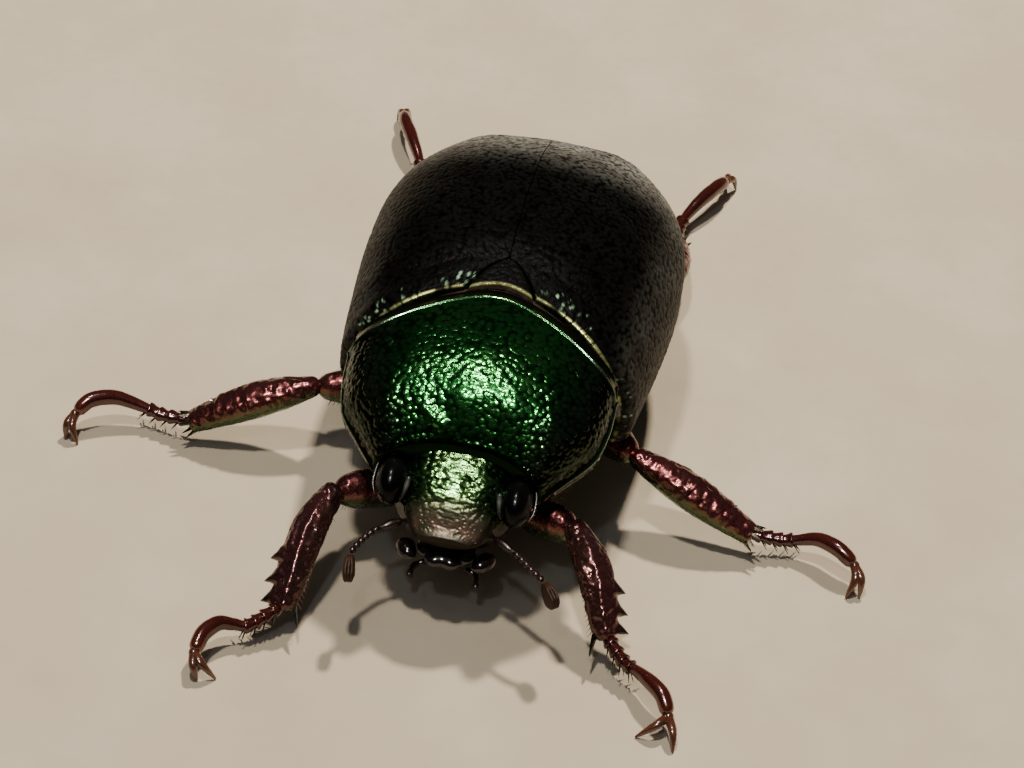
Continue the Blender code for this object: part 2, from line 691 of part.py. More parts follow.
def tibia(leg, joints):
    """Shin: a spindle that widens toward its spiny end; the front pair carry three teeth."""
    knee, middle, ankle = (np.array(point, float) for point in joints["tibia"])
    start = knee - unit(middle - knee) * KNEE_RADIUS
    along = unit(ankle - knee)
    fore = leg.startswith("fore")
    radii = FORE_SHIN_RADII if fore else SHIN_RADII
    body = limb(leg + "_tibia", [start, middle, ankle], radii, 10, 7, domes=(True, False))
    pieces = [body]
    path = smooth_path([start, middle, ankle], 41)
    side = 1 if leg.endswith("left") else -1
    if fore:
        outward = unit(np.cross(along, (0, 0, 1)) * -side)
        outward = outward if outward[0] * side > 0 else -outward
        for place, size in TEETH:
            root = path[int(place * 40)]
            tip = root + outward * (0.5 + size * 0.75) + along * 0.35 * size
            pieces.append(spike(root + outward * 0.15, tip, 0.33 * size + 0.06, 6))
        root = path[37]
        pieces.append(spike(root - outward * 0.3, root - outward * 0.85 + along * 0.95, 0.16))
    else:
        level = unit(np.cross(along, (0, 0, 1)))
        above = unit(np.cross(level, along))
        for turn in np.linspace(0.3, 5.6, 6):
            ray = level * math.cos(turn) + above * math.sin(turn)
            root = ankle - along * 0.32 + ray * 0.4
            tip = ankle + ray * 0.82 + along * 0.4
            tip[2] = max(tip[2], 0.25)
            pieces.append(spike(root, tip, 0.16))
        for place in (0.45, 0.68):
            root = path[int(place * 40)]
            for turn in (0.4, 1.6, 2.7):
                ray = level * math.cos(turn) + above * math.sin(turn)
                pieces.append(spike(root + ray * 0.46, root + ray * 0.86 + along * 0.42, 0.14))
    return fuse(pieces)


def tarsus(leg, joints):
    """Foot: four short joints with a pair of spines each, then a long curved last one."""
    points = [np.array(point, float) for point in joints["tarsus"]]
    start = points[0] + unit(points[1] - points[0]) * FOOT_SETBACK
    path = smooth_path([start] + points[1:], 61)
    pieces = []
    shares = (0.0, 0.13, 0.25, 0.37, 0.50)
    for first, last in zip(shares[:-1], shares[1:]):
        stretch = path[int(first * 60) : int(last * 60) + 2]
        pieces.append(limb(leg + "_tarsus", [stretch[0], stretch[len(stretch) // 2], stretch[-1]],
                           [TARSUS_RADIUS * 0.85, TARSUS_RADIUS, TARSUS_RADIUS * 1.15], 6, 3,
                           domes=(False, False)))
    stretch = path[29:]
    pieces.append(limb(leg + "_tarsus", [stretch[0], stretch[10], stretch[21], stretch[-1]],
                       [TARSUS_RADIUS * 0.8, TARSUS_RADIUS * 1.05, TARSUS_RADIUS * 1.15,
                        TARSUS_RADIUS * 1.05], 7, 7))
    for share in shares[1:4]:
        here = path[int(share * 60)]
        along = unit(path[int(share * 60) + 2] - here)
        level = unit(np.cross(along, (0, 0, 1)))
        for turn in (-1, 1):
            tip = here + level * 0.42 * turn + along * 0.25 + np.array((0, 0, -0.35))
            tip[2] = max(tip[2], 0.2)
            pieces.append(spike(here + level * 0.1 * turn, tip, 0.13))
    return fuse(pieces)


def claws(leg, joints):
    """The pair of curved claws on a small knob: each bends over and meets the floor."""
    end = np.array(joints["tarsus"][-1], float)
    along = unit(end - np.array(joints["tarsus"][-2], float))
    root = end + along * (GAP + CLAW_KNOB)
    pieces = [ellipsoid(leg + "_claws", root, (CLAW_KNOB,) * 3, 7, 5)]
    for tip in joints["claws"]:
        foot = np.array(tip, float) + np.array((0, 0, -0.14))
        middle = root * 0.5 + foot * 0.5 + along * 0.16
        pieces.append(limb("claw", [root, middle, foot], [CLAW_RADIUS, CLAW_RADIUS, 0.12], 6, 4,
                           domes=(False, False)))
    both = fuse(pieces)
    flatten_on_floor(both)
    return both


def coxa(leg, joints):
    """The hip: a short stout joint sunk in the underside of the body."""
    hip = np.array(joints["femur"][0], float)
    ahead = unit(np.array(joints["femur"][1]) - hip)
    outer = hip - ahead * JOINT_SETBACK
    inner = outer - ahead * HIP_LENGTH
    inner[2] = outer[2] + 0.1
    return limb(leg + "_coxa", [inner, (inner + outer) / 2, outer], [0.66, 0.72, 0.62], 10, 4)


def grown_hip(joints):
    """The hollow that a hip and the root of its thigh need in the underside."""
    hip = np.array(joints["femur"][0], float)
    knee = np.array(joints["femur"][2], float)
    ahead = unit(np.array(joints["femur"][1]) - hip)
    outer = hip - ahead * JOINT_SETBACK
    inner = outer - ahead * (HIP_LENGTH + GAP)
    inner[2] = outer[2] + 0.1
    return limb("hollow", [inner, hip, (hip + knee) / 2, knee], [1.25, 1.32, 1.3, 1.25, 1.1], 10, 6)


def build():
    clear_scene()
    green = dict(colour=GREEN, roughness=0.28, metallic=0.9)
    dark = dict(colour=BLACK_GREEN, roughness=0.35, metallic=0.7)
    below = dict(colour=OLIVE_BROWN, roughness=0.4, metallic=0.5)
    red = dict(colour=COPPER_RED, roughness=0.3, metallic=0.8)
    deep = dict(colour=DARK_RED, roughness=0.3, metallic=0.7)
    foot = dict(colour=AMBER, roughness=0.25, metallic=0.4)
    nodes = [(head(), green), (pronotum(), green), (scutellum(), dark)]
    for side in (1, -1):
        nodes.append((wing_case(side), dark))
        nodes.append((eye(side), dict(colour=EYE_BLACK, roughness=0.12, metallic=0.0)))
    nodes += [(piece, deep) for piece in mouth_pieces()]
    for word in ("left", "right"):
        nodes.append((antenna(word), deep))
        nodes.append((antenna_club(word), foot))
    front = prosternum()
    middle = trunk("thorax", THORAX_START_Y, THORAX_END_Y,
                   curve([(THORAX_START_Y, 2.4), (0, BELLY_Z), (THORAX_END_Y, 2.05)]), 8)
    rear = trunk("abdomen", THORAX_END_Y + GAP, ABDOMEN_END_Y,
                 curve([(THORAX_END_Y, 2.1), (8, 2.6), (ABDOMEN_END_Y, 3.8)]), 7)
    front = cut_away(front, [grown_hip(LEGS[leg]) for leg in ("fore_left", "fore_right")])
    middle = cut_away(middle, [grown_hip(LEGS[leg]) for leg in
                               ("mid_left", "mid_right", "hind_left", "hind_right")])
    rear = cut_away(rear, [grown_hip(LEGS[leg]) for leg in ("hind_left", "hind_right")])
    nodes += [(front, below), (middle, below), (rear, below), (pygidium(), dark)]
    for leg, joints in LEGS.items():
        shin = deep if leg.startswith("fore") else red
        nodes.append((coxa(leg, joints), below))
        nodes.append((femur(leg, joints), red))
        nodes.append((tibia(leg, joints), shin))
        nodes.append((tarsus(leg, joints), foot))
        nodes.append((claws(leg, joints), deep))
    for item, look in nodes:
        finish(item, material(item.name, **look))
    return [item for item, look in nodes]


def stand_on_origin(items):
    """Parents every node to an empty that puts the middle of the box above the origin."""
    points = np.array([item.matrix_world @ vert.co for item in items for vert in item.data.vertices])
    low, high = points.min(0), points.max(0)
    centre = bpy.data.objects.new("beetle", None)
    bpy.context.scene.collection.objects.link(centre)
    centre.location = Vector((-(low[0] + high[0]) / 2, -(low[1] + high[1]) / 2, -low[2]))
    for item in items:
        item.parent = centre
    bpy.context.view_layer.update()
    print("box mm", np.round((high - low) / MM, 2), "shift mm", np.round(np.array(centre.location) / MM, 3))


stand_on_origin(build())
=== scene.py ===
# %% [markdown]
# # A granulate shining leaf chafer, life size, as a standing museum model
#
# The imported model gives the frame: fifty plain closed parts, each named for a part of the body.
# This script dresses them. Every visible part is made again as a smooth surface worked out with
# numpy, laid in the same place, and given a finish built from nodes. Sizes are millimetres in the
# body's own frame: the head points toward -Y, +X is the beetle's left side, the floor is z = 0.

import math

import bmesh
import bpy
import numpy as np
from mathutils import Matrix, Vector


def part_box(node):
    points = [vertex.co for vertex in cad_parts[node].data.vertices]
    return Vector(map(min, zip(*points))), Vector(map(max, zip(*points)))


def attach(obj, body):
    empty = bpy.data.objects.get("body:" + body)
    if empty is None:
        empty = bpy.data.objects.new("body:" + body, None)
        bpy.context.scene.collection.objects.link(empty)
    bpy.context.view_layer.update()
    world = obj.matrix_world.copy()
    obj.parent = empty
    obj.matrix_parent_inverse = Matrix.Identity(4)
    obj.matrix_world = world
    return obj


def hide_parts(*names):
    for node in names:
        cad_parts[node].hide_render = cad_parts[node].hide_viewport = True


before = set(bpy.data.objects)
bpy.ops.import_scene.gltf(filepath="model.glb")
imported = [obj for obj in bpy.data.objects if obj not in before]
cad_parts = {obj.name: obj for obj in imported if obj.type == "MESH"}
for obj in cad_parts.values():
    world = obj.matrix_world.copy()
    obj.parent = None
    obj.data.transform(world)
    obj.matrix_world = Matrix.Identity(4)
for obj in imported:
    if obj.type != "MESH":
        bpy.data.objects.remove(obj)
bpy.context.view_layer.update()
print("nodes:", len(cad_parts))

# %% [markdown]
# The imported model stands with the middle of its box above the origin, so its body frame is moved
# sideways by a small amount. The two eyes are mirror images about the middle line, and their
# centre is known, so they tell the move exactly.

# %% The body frame
MM = 0.001
EYE_CENTRE = np.array((2.57, -9.74, 5.32))
EYE_RADII = np.array((0.64, 1.1, 0.96))
eye_boxes = np.array([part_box("eye_left"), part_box("eye_right")]) / MM
SHIFT = eye_boxes.mean((0, 1)) - EYE_CENTRE * (0, 1, 1)
print("shift in mm:", SHIFT.round(3))

# %% [markdown]
# ## Camera
#
# The camera was fitted to places on the body that can be told in the photograph: eye, mouth,
# claws, wing case tips. It looks down at 41 degrees from in front, a little to the beetle's left,
# and is rolled by 5 degrees. A long lens keeps the body's proportions.

# %% The camera
AZIMUTH, ELEVATION, ROLL = (math.radians(a) for a in (8.2, 41.4, 5.1))
VIEW_DISTANCE = 129.6
VIEW_TARGET = np.array((0.7, -1.2, 4.0))
FOCAL_PIXELS, FRAME_PIXELS, SENSOR = 3035.0, 1024.0, 36.0


def camera_axes():
    """Right, up and backward directions: two turns for the aim, then one for the roll."""
    back = np.array((math.sin(AZIMUTH) * math.cos(ELEVATION),
                     -math.cos(AZIMUTH) * math.cos(ELEVATION), math.sin(ELEVATION)))
    right = np.array((math.cos(AZIMUTH), math.sin(AZIMUTH), 0.0))
    up = np.cross(back, right)
    rolled_right = math.cos(ROLL) * right + math.sin(ROLL) * up
    rolled_up = -math.sin(ROLL) * right + math.cos(ROLL) * up
    return rolled_right, rolled_up, back


def place_item(item, directions, spot):
    """Link an object, with its three directions as columns and its place in millimetres."""
    placing = np.eye(4)
    placing[:3, :3] = np.stack(directions, 1)
    placing[:3, 3] = (spot + SHIFT) * MM
    bpy.context.scene.collection.objects.link(item)
    item.matrix_world = Matrix(placing.tolist())


lens = bpy.data.cameras.new("camera")
lens.sensor_width = SENSOR
lens.lens = FOCAL_PIXELS / FRAME_PIXELS * SENSOR
lens.clip_start = 0.001
camera = bpy.data.objects.new("camera", lens)
axes = camera_axes()
view_point = VIEW_TARGET + axes[2] * VIEW_DISTANCE
place_item(camera, axes, view_point)
bpy.context.scene.camera = camera
print("lens:", round(lens.lens, 1), "mm, camera at", view_point.round(1))

# %% [markdown]
# ## Light
#
# In the photograph the shadows fall forward, so the key lamp stands behind and above, and a weak
# one fills from the front. Neither shows in gloss. What the shell mirrors is a lamp above it and
# one before it, which lights nothing matt: it makes the bright spots of head and shield. The sky
# stays dim, because a bright sky would turn the whole metallic shell pale.

# %% Lamps and sky
LIGHT_FROM = np.array((0.10, 0.67, 1.0))
SKY_COLOUR = (0.80, 0.88, 1.0, 1.0)
SKY_STRENGTH = 0.035
LAMP_AIM = (0, -1, 4)
WARM_LIGHT, COOL_LIGHT, WHITE_LIGHT = (1.0, 0.96, 0.89), (0.95, 0.97, 1.0), (1.0, 0.98, 0.94)


def lamp(name, direction, distance, size, power, colour, mirrored=True, lights_floor=True):
    """A square lamp that looks at the body. Mirrored lamps show in gloss."""
    light = bpy.data.lights.new(name, "AREA")
    light.size = size * MM
    light.energy = power
    light.color = colour
    item = bpy.data.objects.new(name, light)
    back = np.array(direction, float) / np.linalg.norm(direction)
    right = np.cross((0, 1, 0.01), back)
    right /= np.linalg.norm(right)
    place_item(item, (right, np.cross(back, right), back), back * distance + LAMP_AIM)
    item.visible_glossy = mirrored
    item.visible_diffuse = lights_floor


lamp("key", LIGHT_FROM, distance=300, size=18, power=1.22, colour=WARM_LIGHT, mirrored=False)
lamp("fill", (-0.3, -0.6, 1.0), distance=340, size=300, power=0.09, colour=COOL_LIGHT, mirrored=False)
lamp("glint", (-0.12, -0.02, 1.0), distance=300, size=20, power=0.52, colour=WHITE_LIGHT)
lamp("glint_front", (-0.06, -0.47, 0.9), distance=300, size=16, power=1.20, colour=WHITE_LIGHT,
     lights_floor=False)
world = bpy.data.worlds.new("sky")
world.use_nodes = True
sky = world.node_tree.nodes["Background"]
sky.inputs["Color"].default_value = SKY_COLOUR
sky.inputs["Strength"].default_value = SKY_STRENGTH
bpy.context.scene.world = world

# %% [markdown]
# ## Surfaces as arrays
#
# Every piece is a grid of points: a function of two parameters, worked out for the whole grid at
# once. A grid could also be sculpted by hand, but a formula keeps the plates in one outline and
# can be changed by a number.

# %% Curves and paths
def curve(stations):
    """A smooth function through (place, value) pairs, whose slopes never overshoot."""
    place, value = np.array(stations, float).T
    run = np.diff(place)
    rise = np.diff(value) / run
    slope = np.concatenate([rise[:1], np.zeros(len(run) - 1), rise[-1:]])
    same = rise[:-1] * rise[1:] > 0
    mean = 2 * rise[:-1] * rise[1:] / np.where(same, rise[:-1] + rise[1:], 1)
    slope[1:-1] = np.where(same, mean, 0)

    def at(where):
        """The value at each place: a cubic with the slopes of the two stations beside it."""
        where = np.clip(np.asarray(where, float), place[0], place[-1])
        i = np.clip(np.searchsorted(place, where) - 1, 0, len(run) - 1)
        t = (where - place[i]) / run[i]
        left = value[i] * (1 + 2 * t) * (1 - t) ** 2 + slope[i] * run[i] * t * (1 - t) ** 2
        right = value[i + 1] * t * t * (3 - 2 * t) - slope[i + 1] * run[i] * t * t * (1 - t)
        return left + right

    return at


def even(count):
    """Shares from 0 to 1 in equal steps."""
    return np.linspace(0, 1, count)


def turns(count):
    """Angles that go once round in equal steps."""
    return np.linspace(0, 2 * math.pi, count, endpoint=False)


def smooth_step(low, high, value):
    """0 below low and 1 above high, with a soft S between: 3 t squared minus 2 t cubed."""
    t = np.clip((value - low) / (high - low), 0, 1)
    return t * t * (3 - 2 * t)


def bump_at(value, centre, width):
    """A bell: one at the centre, and close to nothing two widths away."""
    return np.exp(-(((value - centre) / width) ** 2))


def signed_power(value, power):
    """The power of the size, with the sign kept."""
    return np.sign(value) * np.abs(value) ** power


def path_through(points, places):
    """A curve through the points, read at shares (0 to 1) of its length.

    Each stretch is a cubic whose slope at a point follows the line between its two neighbours.
    """
    points = np.array(points, float)
    padded = np.vstack([2 * points[:1] - points[1:2], points, 2 * points[-1:] - points[-2:-1]])
    t = np.linspace(0, 1, 40, endpoint=False)[None, :, None]
    a, b, c, d = (padded[k : k + len(points) - 1, None] for k in range(4))
    dense = 0.5 * (2 * b + (c - a) * t + (2 * a - 5 * b + 4 * c - d) * t**2
                   + (3 * b - a - 3 * c + d) * t**3)
    dense = np.vstack([dense.reshape(-1, 3), points[-1:]])
    length = np.concatenate([[0], np.cumsum(np.linalg.norm(np.diff(dense, axis=0), axis=1))])
    where = np.asarray(places) * length[-1]
    return np.stack([np.interp(where, length, dense[:, k]) for k in range(3)], 1)


def unit(vector):
    """The vector over its length."""
    vector = np.asarray(vector, float)
    return vector / np.linalg.norm(vector, axis=-1, keepdims=True)


bend = path_through([(0, 0, 0), (1, 1, 0), (2, 0, 0)], even(5))
print("a path over three points, at five places:", bend[:, :2].round(2).tolist())

# %% [markdown]
# A limb is a profile carried along a path. At each place the profile is an ellipse with its own
# width and thickness, and the ends close by shrinking like the end of a ball.

# %% A profile carried along a path
def carry(path, wide, thick, up=(0, 0, 1), sides=24):
    """A grid: path + across * wide * cosine of the angle + lift * thick * sine of the angle."""
    along = unit(np.gradient(path, axis=0))
    across = unit(np.cross(along, np.array(up, float)))
    lift = np.cross(across, along)
    angle = turns(sides)
    wide, thick = np.broadcast_to(wide, len(path)), np.broadcast_to(thick, len(path))
    return (path[:, None] + across[:, None] * (np.cos(angle) * wide[:, None])[..., None]
            + lift[:, None] * (np.sin(angle) * thick[:, None])[..., None])


def dense_ends(count, power=2.0):
    """Shares from 0 to 1 that crowd at both ends, where a surface closes quickly."""
    t = np.linspace(-1, 1, count)
    return 0.5 + 0.5 * np.sign(t) * (1 - (1 - np.abs(t)) ** power)


def closing(share, first, last):
    """The shrinking at both ends: the square root of one minus the square of what is left."""
    start = 1 - np.clip(share / first, 0, 1)
    end = 1 - np.clip((1 - share) / last, 0, 1)
    return np.sqrt(np.clip(1 - start**2, 0, 1)) * np.sqrt(np.clip(1 - end**2, 0, 1))


def tube_places(rows, power, columns):
    """For every point of a tube, its share of the length and its angle round."""
    return np.meshgrid(dense_ends(rows, power), turns(columns), indexing="ij")


def grid_normals(grid, around):
    """Directions square to the surface: the cross product of the two ways along the grid."""
    down = np.gradient(grid, axis=0)
    if around:
        over = np.roll(grid, -1, 1) - np.roll(grid, 1, 1)
    else:
        over = np.gradient(grid, axis=1)
    square = np.cross(down, over)
    length = np.linalg.norm(square, axis=-1, keepdims=True)
    square = square / np.where(length > 1e-9, length, 1)
    outward = (square * (grid - grid.mean((0, 1)))).sum(-1)
    return square if outward.mean() > 0 else -square


def raised(grid, height, around=True):
    """The grid with every point moved outward by its own height."""
    return grid + grid_normals(grid, around) * height[..., None]


# %% [markdown]
# The shell of this beetle is granulate: small rounded grains, packed like cobbles. One point is
# scattered in each cell of a cubic lattice, and the distance to the nearest of them makes domes
# or pits. A cell texture does the same for a finish; here it makes real relief.

# %% Grain and clouds
GRAIN_REACH, PIT_REACH = 0.72, 0.33
FLAT_POWER = 3.5


def hashed(cell, salt):
    """A number from 0 to 1 for each cell: what is left of a large sine after its whole part."""
    mix = cell @ np.array((12.9898, 78.233, 37.719)) + salt * 4.1414
    return np.modf(np.abs(np.sin(mix) * 43758.5453))[0]


def cobbles(grid, size, seed):
    """Distance to the nearest scattered point, as a share of the cell size, for each place."""
    spot = grid.reshape(-1, 3) / size
    home = np.floor(spot)
    nearest = np.full(len(spot), 9.0)
    for step in np.ndindex(3, 3, 3):
        cell = home + np.array(step) - 1
        centre = cell + np.stack([hashed(cell, seed + k) for k in range(3)], -1)
        nearest = np.minimum(nearest, np.linalg.norm(spot - centre, axis=1))
    return nearest.reshape(grid.shape[:-1])


def clouds(grid, size, seed):
    """Slow changes from -1 to 1: the corners of each cell hold a number, blended smoothly."""
    spot = grid.reshape(-1, 3) / size
    home = np.floor(spot)
    t = spot - home
    t = t * t * (3 - 2 * t)
    total = np.zeros(len(spot))
    for corner in np.ndindex(2, 2, 2):
        corner = np.array(corner)
        total += np.prod(np.where(corner, t, 1 - t), axis=1) * hashed(home + corner, seed)
    return (total * 2 - 1).reshape(grid.shape[:-1])


def grains(grid, size, seed):
    """Rounded grains from 0 in the grooves to 1 on top."""
    return np.clip(1 - (cobbles(grid, size, seed) / GRAIN_REACH) ** 2, 0, 1)


def flat_grains(grid, size, seed):
    """Grains with flat tops and steep sides, so that a row of them mirrors like one surface."""
    return np.clip(1 - (cobbles(grid, size, seed) / GRAIN_REACH) ** FLAT_POWER, 0, 1)


def pits(grid, size, seed):
    """Round pits: 1 at the bottom of each, 0 between them."""
    return bump_at(cobbles(grid, size, seed), 0, PIT_REACH)


# %% [markdown]
# A mesh takes its points and faces from the grids. Points that fall together, where a limb ends
# or a seam closes, are merged, and then all faces are turned outward. Colours that follow the
# surface, such as the gold edge of a wing case, are written for each point as an attribute.

# %% From grids to pieces
PLAIN = (1.0, 1.0, 1.0)
MERGE_DISTANCE = 0.0008
CREASE_ANGLE = math.radians(70)
SIDES = ((1, "left"), (-1, "right"))


def four_numbers(paint):
    """Red, green and blue factors and a fourth number: 1 for the finish, 0 for its second look."""
    paint = np.asarray(paint, float)
    if paint.shape[-1] == 4:
        return paint
    return np.concatenate([paint, np.ones(paint.shape[:-1] + (1,))], -1)


def blend(first, second, share):
    """The first colour where the share is 0, the second where it is 1."""
    share = share[..., None]
    return first * (1 - share) + np.array(second) * share


def corners(index):
    """The four corners of every face of grids of point numbers."""
    faces = [index[..., :-1, :-1], index[..., :-1, 1:], index[..., 1:, 1:], index[..., 1:, :-1]]
    return np.stack(faces, -1).reshape(-1, 4)


def patch(grid, around=True, paint=PLAIN):
    """Points, four-cornered faces and colours of one grid."""
    rows, columns = grid.shape[:2]
    index = np.arange(rows * columns).reshape(rows, columns)
    if around:
        index = np.concatenate([index, index[:, :1]], 1)
    colours = np.broadcast_to(four_numbers(paint), (rows, columns, 4))
    return grid.reshape(-1, 3), corners(index), colours.reshape(-1, 4)


def closed_rings(skin, paint=None):
    """A tube whose two ends close to the middle of their rings."""
    first, last = (np.broadcast_to(ring.mean(0), skin[:1].shape) for ring in (skin[0], skin[-1]))
    grid = np.concatenate([first, skin, last])
    if paint is None:
        return patch(grid)
    return patch(grid, paint=np.concatenate([paint[:1], paint, paint[-1:]]))


def closed_plate(skin, under, paint, step=1, under_tone=1.0, front_tone=None):
    """An outer and an inner face in one loop; rows half-way between them close both ends."""
    middle = (skin + under[:, ::-1]) / 2
    ends = np.concatenate([middle, middle[:, ::-1][:, ::step]], 1)
    loop = np.concatenate([skin, under[:, ::step]], 1)
    paint = np.concatenate([paint, np.ones_like(paint)[:, ::step] * under_tone], 1)
    front = paint[:1] if front_tone is None else np.ones_like(paint[:1]) * front_tone
    return patch(np.concatenate([ends[:1], loop, ends[-1:]]),
                 paint=np.concatenate([front, paint, paint[-1:]]))


def piece(name, patches, finish, nodes=()):
    """A mesh object from patches, in place, with its finish and the nodes it replaces."""
    starts = np.cumsum([0] + [len(part[0]) for part in patches[:-1]])
    points = np.concatenate([part[0] for part in patches])
    faces = np.concatenate([part[1] + start for part, start in zip(patches, starts)])
    colours = np.concatenate([part[2] for part in patches])
    mesh = bpy.data.meshes.new(name)
    mesh.from_pydata(((points + SHIFT) * MM).tolist(), [], faces.tolist())
    paint = mesh.attributes.new("paint", "FLOAT_COLOR", "POINT")
    paint.data.foreach_set("color", colours.ravel())
    work = bmesh.new()
    work.from_mesh(mesh)
    bmesh.ops.remove_doubles(work, verts=work.verts, dist=MERGE_DISTANCE * MM)
    bmesh.ops.recalc_face_normals(work, faces=work.faces)
    work.to_mesh(mesh)
    work.free()
    mesh.shade_smooth()
    mesh.set_sharp_from_angle(angle=CREASE_ANGLE)
    mesh.materials.append(finish)
    item = bpy.data.objects.new(name, mesh)
    bpy.context.scene.collection.objects.link(item)
    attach(item, "root")
    if nodes:
        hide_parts(*nodes)
    print(name, sum(len(face.vertices) - 2 for face in mesh.polygons), "triangles")


# %% [markdown]
# Bristles and spines are slender horns: three rings of four points and a tip. They are worked out
# for a whole row at once, one horn to each root.

# %% Horns: bristles, spines and hairs
HORN_SHARES = np.array((0.0, 0.45, 0.8, 1.0))
HORN_WIDTHS = np.array((1.0, 0.72, 0.38, 0.0))
HORN_SIDES = 4
NEVER_ALONG = (0.31, 0.17, 0.93)


def horns(roots, ways, length, thick, paint=PLAIN):
    """Rings at root + way * length * share, each thinner than the last, closed at the root."""
    roots, ways = np.atleast_2d(roots), unit(np.atleast_2d(ways))
    count, rings = len(roots), len(HORN_SHARES)
    length, thick = np.broadcast_to(length, count), np.broadcast_to(thick, count)
    across = unit(np.cross(ways, NEVER_ALONG))
    lift = np.cross(ways, across)
    middle = roots[:, None] + ways[:, None] * (HORN_SHARES * length[:, None])[..., None]
    angle = turns(HORN_SIDES)[:, None]
    ring = across[:, None] * np.cos(angle) + lift[:, None] * np.sin(angle)
    grid = middle[:, :, None] + ring[:, None] * (HORN_WIDTHS * thick[:, None])[..., None, None]
    index = np.arange(count * rings * HORN_SIDES).reshape(count, rings, HORN_SIDES)
    faces = corners(np.concatenate([index, index[..., :1]], -1))
    faces = np.concatenate([faces, index[:, 0, ::-1]])
    colours = np.broadcast_to(four_numbers(paint), (index.size, 4))
    return grid.reshape(-1, 3), faces, colours


# %% [markdown]
# ## Finishes
#
# The cuticle is metallic: it has no pigment on top but a stack of thin layers that mirror one
# colour. A Principled shader with metallic near one does that, and darkens by itself where it
# mirrors a dim sky. Roughness and bump at the size of the grain break the mirror up.

# %% A finish from nodes
COAT_ROUGHNESS = 0.12


def per_mm(size):
    """The texture scale that gives features of that size in millimetres."""
    return 1000.0 / size


def cuticle(name, colour, second, metallic, rough, grain=0.12, depth=0.012, coat=0.0,
            cloud=1.6, pit=False, shine=0.5, second_look=None):
    """Two colours in clouds times the painted colour, uneven gloss, and a fine relief.

    second_look is the metallic and the added roughness where the fourth painted number is 0.
    """
    made = bpy.data.materials.new(name)
    made.use_nodes = True
    tree = made.node_tree

    def fill(inputs, values):
        """Link each named input to an output, or set it to a value."""
        for key, value in values.items():
            socket = inputs[key if isinstance(key, int) else key.replace("_", " ")]
            if isinstance(value, bpy.types.NodeSocket):
                tree.links.new(value, socket)
            else:
                socket.default_value = value

    def node(kind, result, numbered=None, settings=(), **values):
        """A new node with its settings and inputs; what it gives is one of its outputs."""
        item = tree.nodes.new("ShaderNode" + kind)
        for key, value in settings:
            setattr(item, key, value)
        fill(item.inputs, numbered or values)
        return item.outputs[result]

    where = node("TexCoord", "Object")
    painted = node("Attribute", "Color", settings=[("attribute_name", "paint")])
    alpha = painted.node.outputs["Alpha"]
    slow = node("TexNoise", "Fac", Vector=where, Scale=per_mm(cloud), Detail=3.0, Roughness=0.6)
    share = node("MapRange", "Result", Value=slow, From_Min=0.35, From_Max=0.68)
    tones = node("Mix", "Result", settings=[("data_type", "RGBA")],
                 A=(*colour, 1), B=(*second, 1), Factor=share)
    base = node("Mix", "Result", settings=[("data_type", "RGBA"), ("blend_type", "MULTIPLY")],
                A=tones, B=painted, Factor=1.0)
    fine = node("TexVoronoi", "Distance", Vector=where, Scale=per_mm(grain),
                settings=[("feature", "F1" if pit else "SMOOTH_F1")])
    dust = node("TexNoise", "Fac", Vector=where, Scale=per_mm(grain * 0.45), Detail=2.0)
    gloss = node("MapRange", "Result", Value=dust, From_Min=0.3, From_Max=0.75,
                 To_Min=rough * 0.75, To_Max=min(rough * 1.45, 1))
    if second_look:
        metallic = node("MapRange", "Result", Value=alpha, To_Min=second_look[0], To_Max=metallic)
        more = node("MapRange", "Result", Value=alpha, To_Min=second_look[1], To_Max=0.0)
        gloss = node("Math", "Value", numbered={0: gloss, 1: more})
    low = node("Bump", "Normal", settings=[("invert", not pit)], Height=fine, Strength=1.0,
               Distance=depth * MM)
    high = node("Bump", "Normal", Height=dust, Normal=low, Strength=1.0, Distance=depth * MM * 0.25)
    fill(tree.nodes["Principled BSDF"].inputs, {
        "Base Color": base, "Metallic": metallic, "Roughness": gloss, "Normal": high,
        "Specular IOR Level": shine, "Coat Weight": coat, "Coat Roughness": COAT_ROUGHNESS})
    return made


# %% [markdown]
# Each kind of surface on the body gets its own finish, with colours judged from the photograph:
# green on the forebody, nearly black on the wing cases, wine red on the legs, amber on the feet.

# %% The finishes
shield_green = cuticle("shield_green", (0.018, 0.115, 0.026), (0.034, 0.165, 0.036), 0.96, 0.15,
                       grain=0.08, depth=0.005)
head_green = cuticle("head_green", (0.055, 0.125, 0.036), (0.090, 0.170, 0.050), 0.94, 0.19,
                     grain=0.08, depth=0.005, shine=0.15, second_look=(0.6, 0.18))
case_black = cuticle("case_black", (0.0020, 0.0017, 0.0014), (0.0035, 0.0035, 0.0028), 0.0, 0.36,
                    grain=0.09, depth=0.010, shine=0.03, second_look=(0.95, -0.12))
eye_black = cuticle("eye_black", (0.0015, 0.0015, 0.0015), (0.003, 0.003, 0.003), 0.0, 0.20,
                    grain=0.05, depth=0.002, shine=0.10)
wine_red = cuticle("wine_red", (0.165, 0.042, 0.040), (0.10, 0.028, 0.024), 0.85, 0.25,
                   grain=0.16, depth=0.012, coat=0.2)
shin_dark = cuticle("shin_dark", (0.075, 0.027, 0.027), (0.115, 0.034, 0.032), 0.8, 0.24,
                    grain=0.16, depth=0.014, coat=0.25)
foot_wine = cuticle("foot_wine", (0.080, 0.013, 0.009), (0.046, 0.009, 0.006), 0.45, 0.20,
                    grain=0.2, depth=0.006, coat=0.6)
claw_amber = cuticle("claw_amber", (0.085, 0.026, 0.012), (0.055, 0.017, 0.008), 0.1, 0.2,
                    grain=0.2, depth=0.003, coat=0.6)
club_amber = cuticle("club_amber", (0.036, 0.011, 0.002), (0.024, 0.007, 0.0015), 0.05, 0.5,
                     grain=0.06, depth=0.006, shine=0.25)
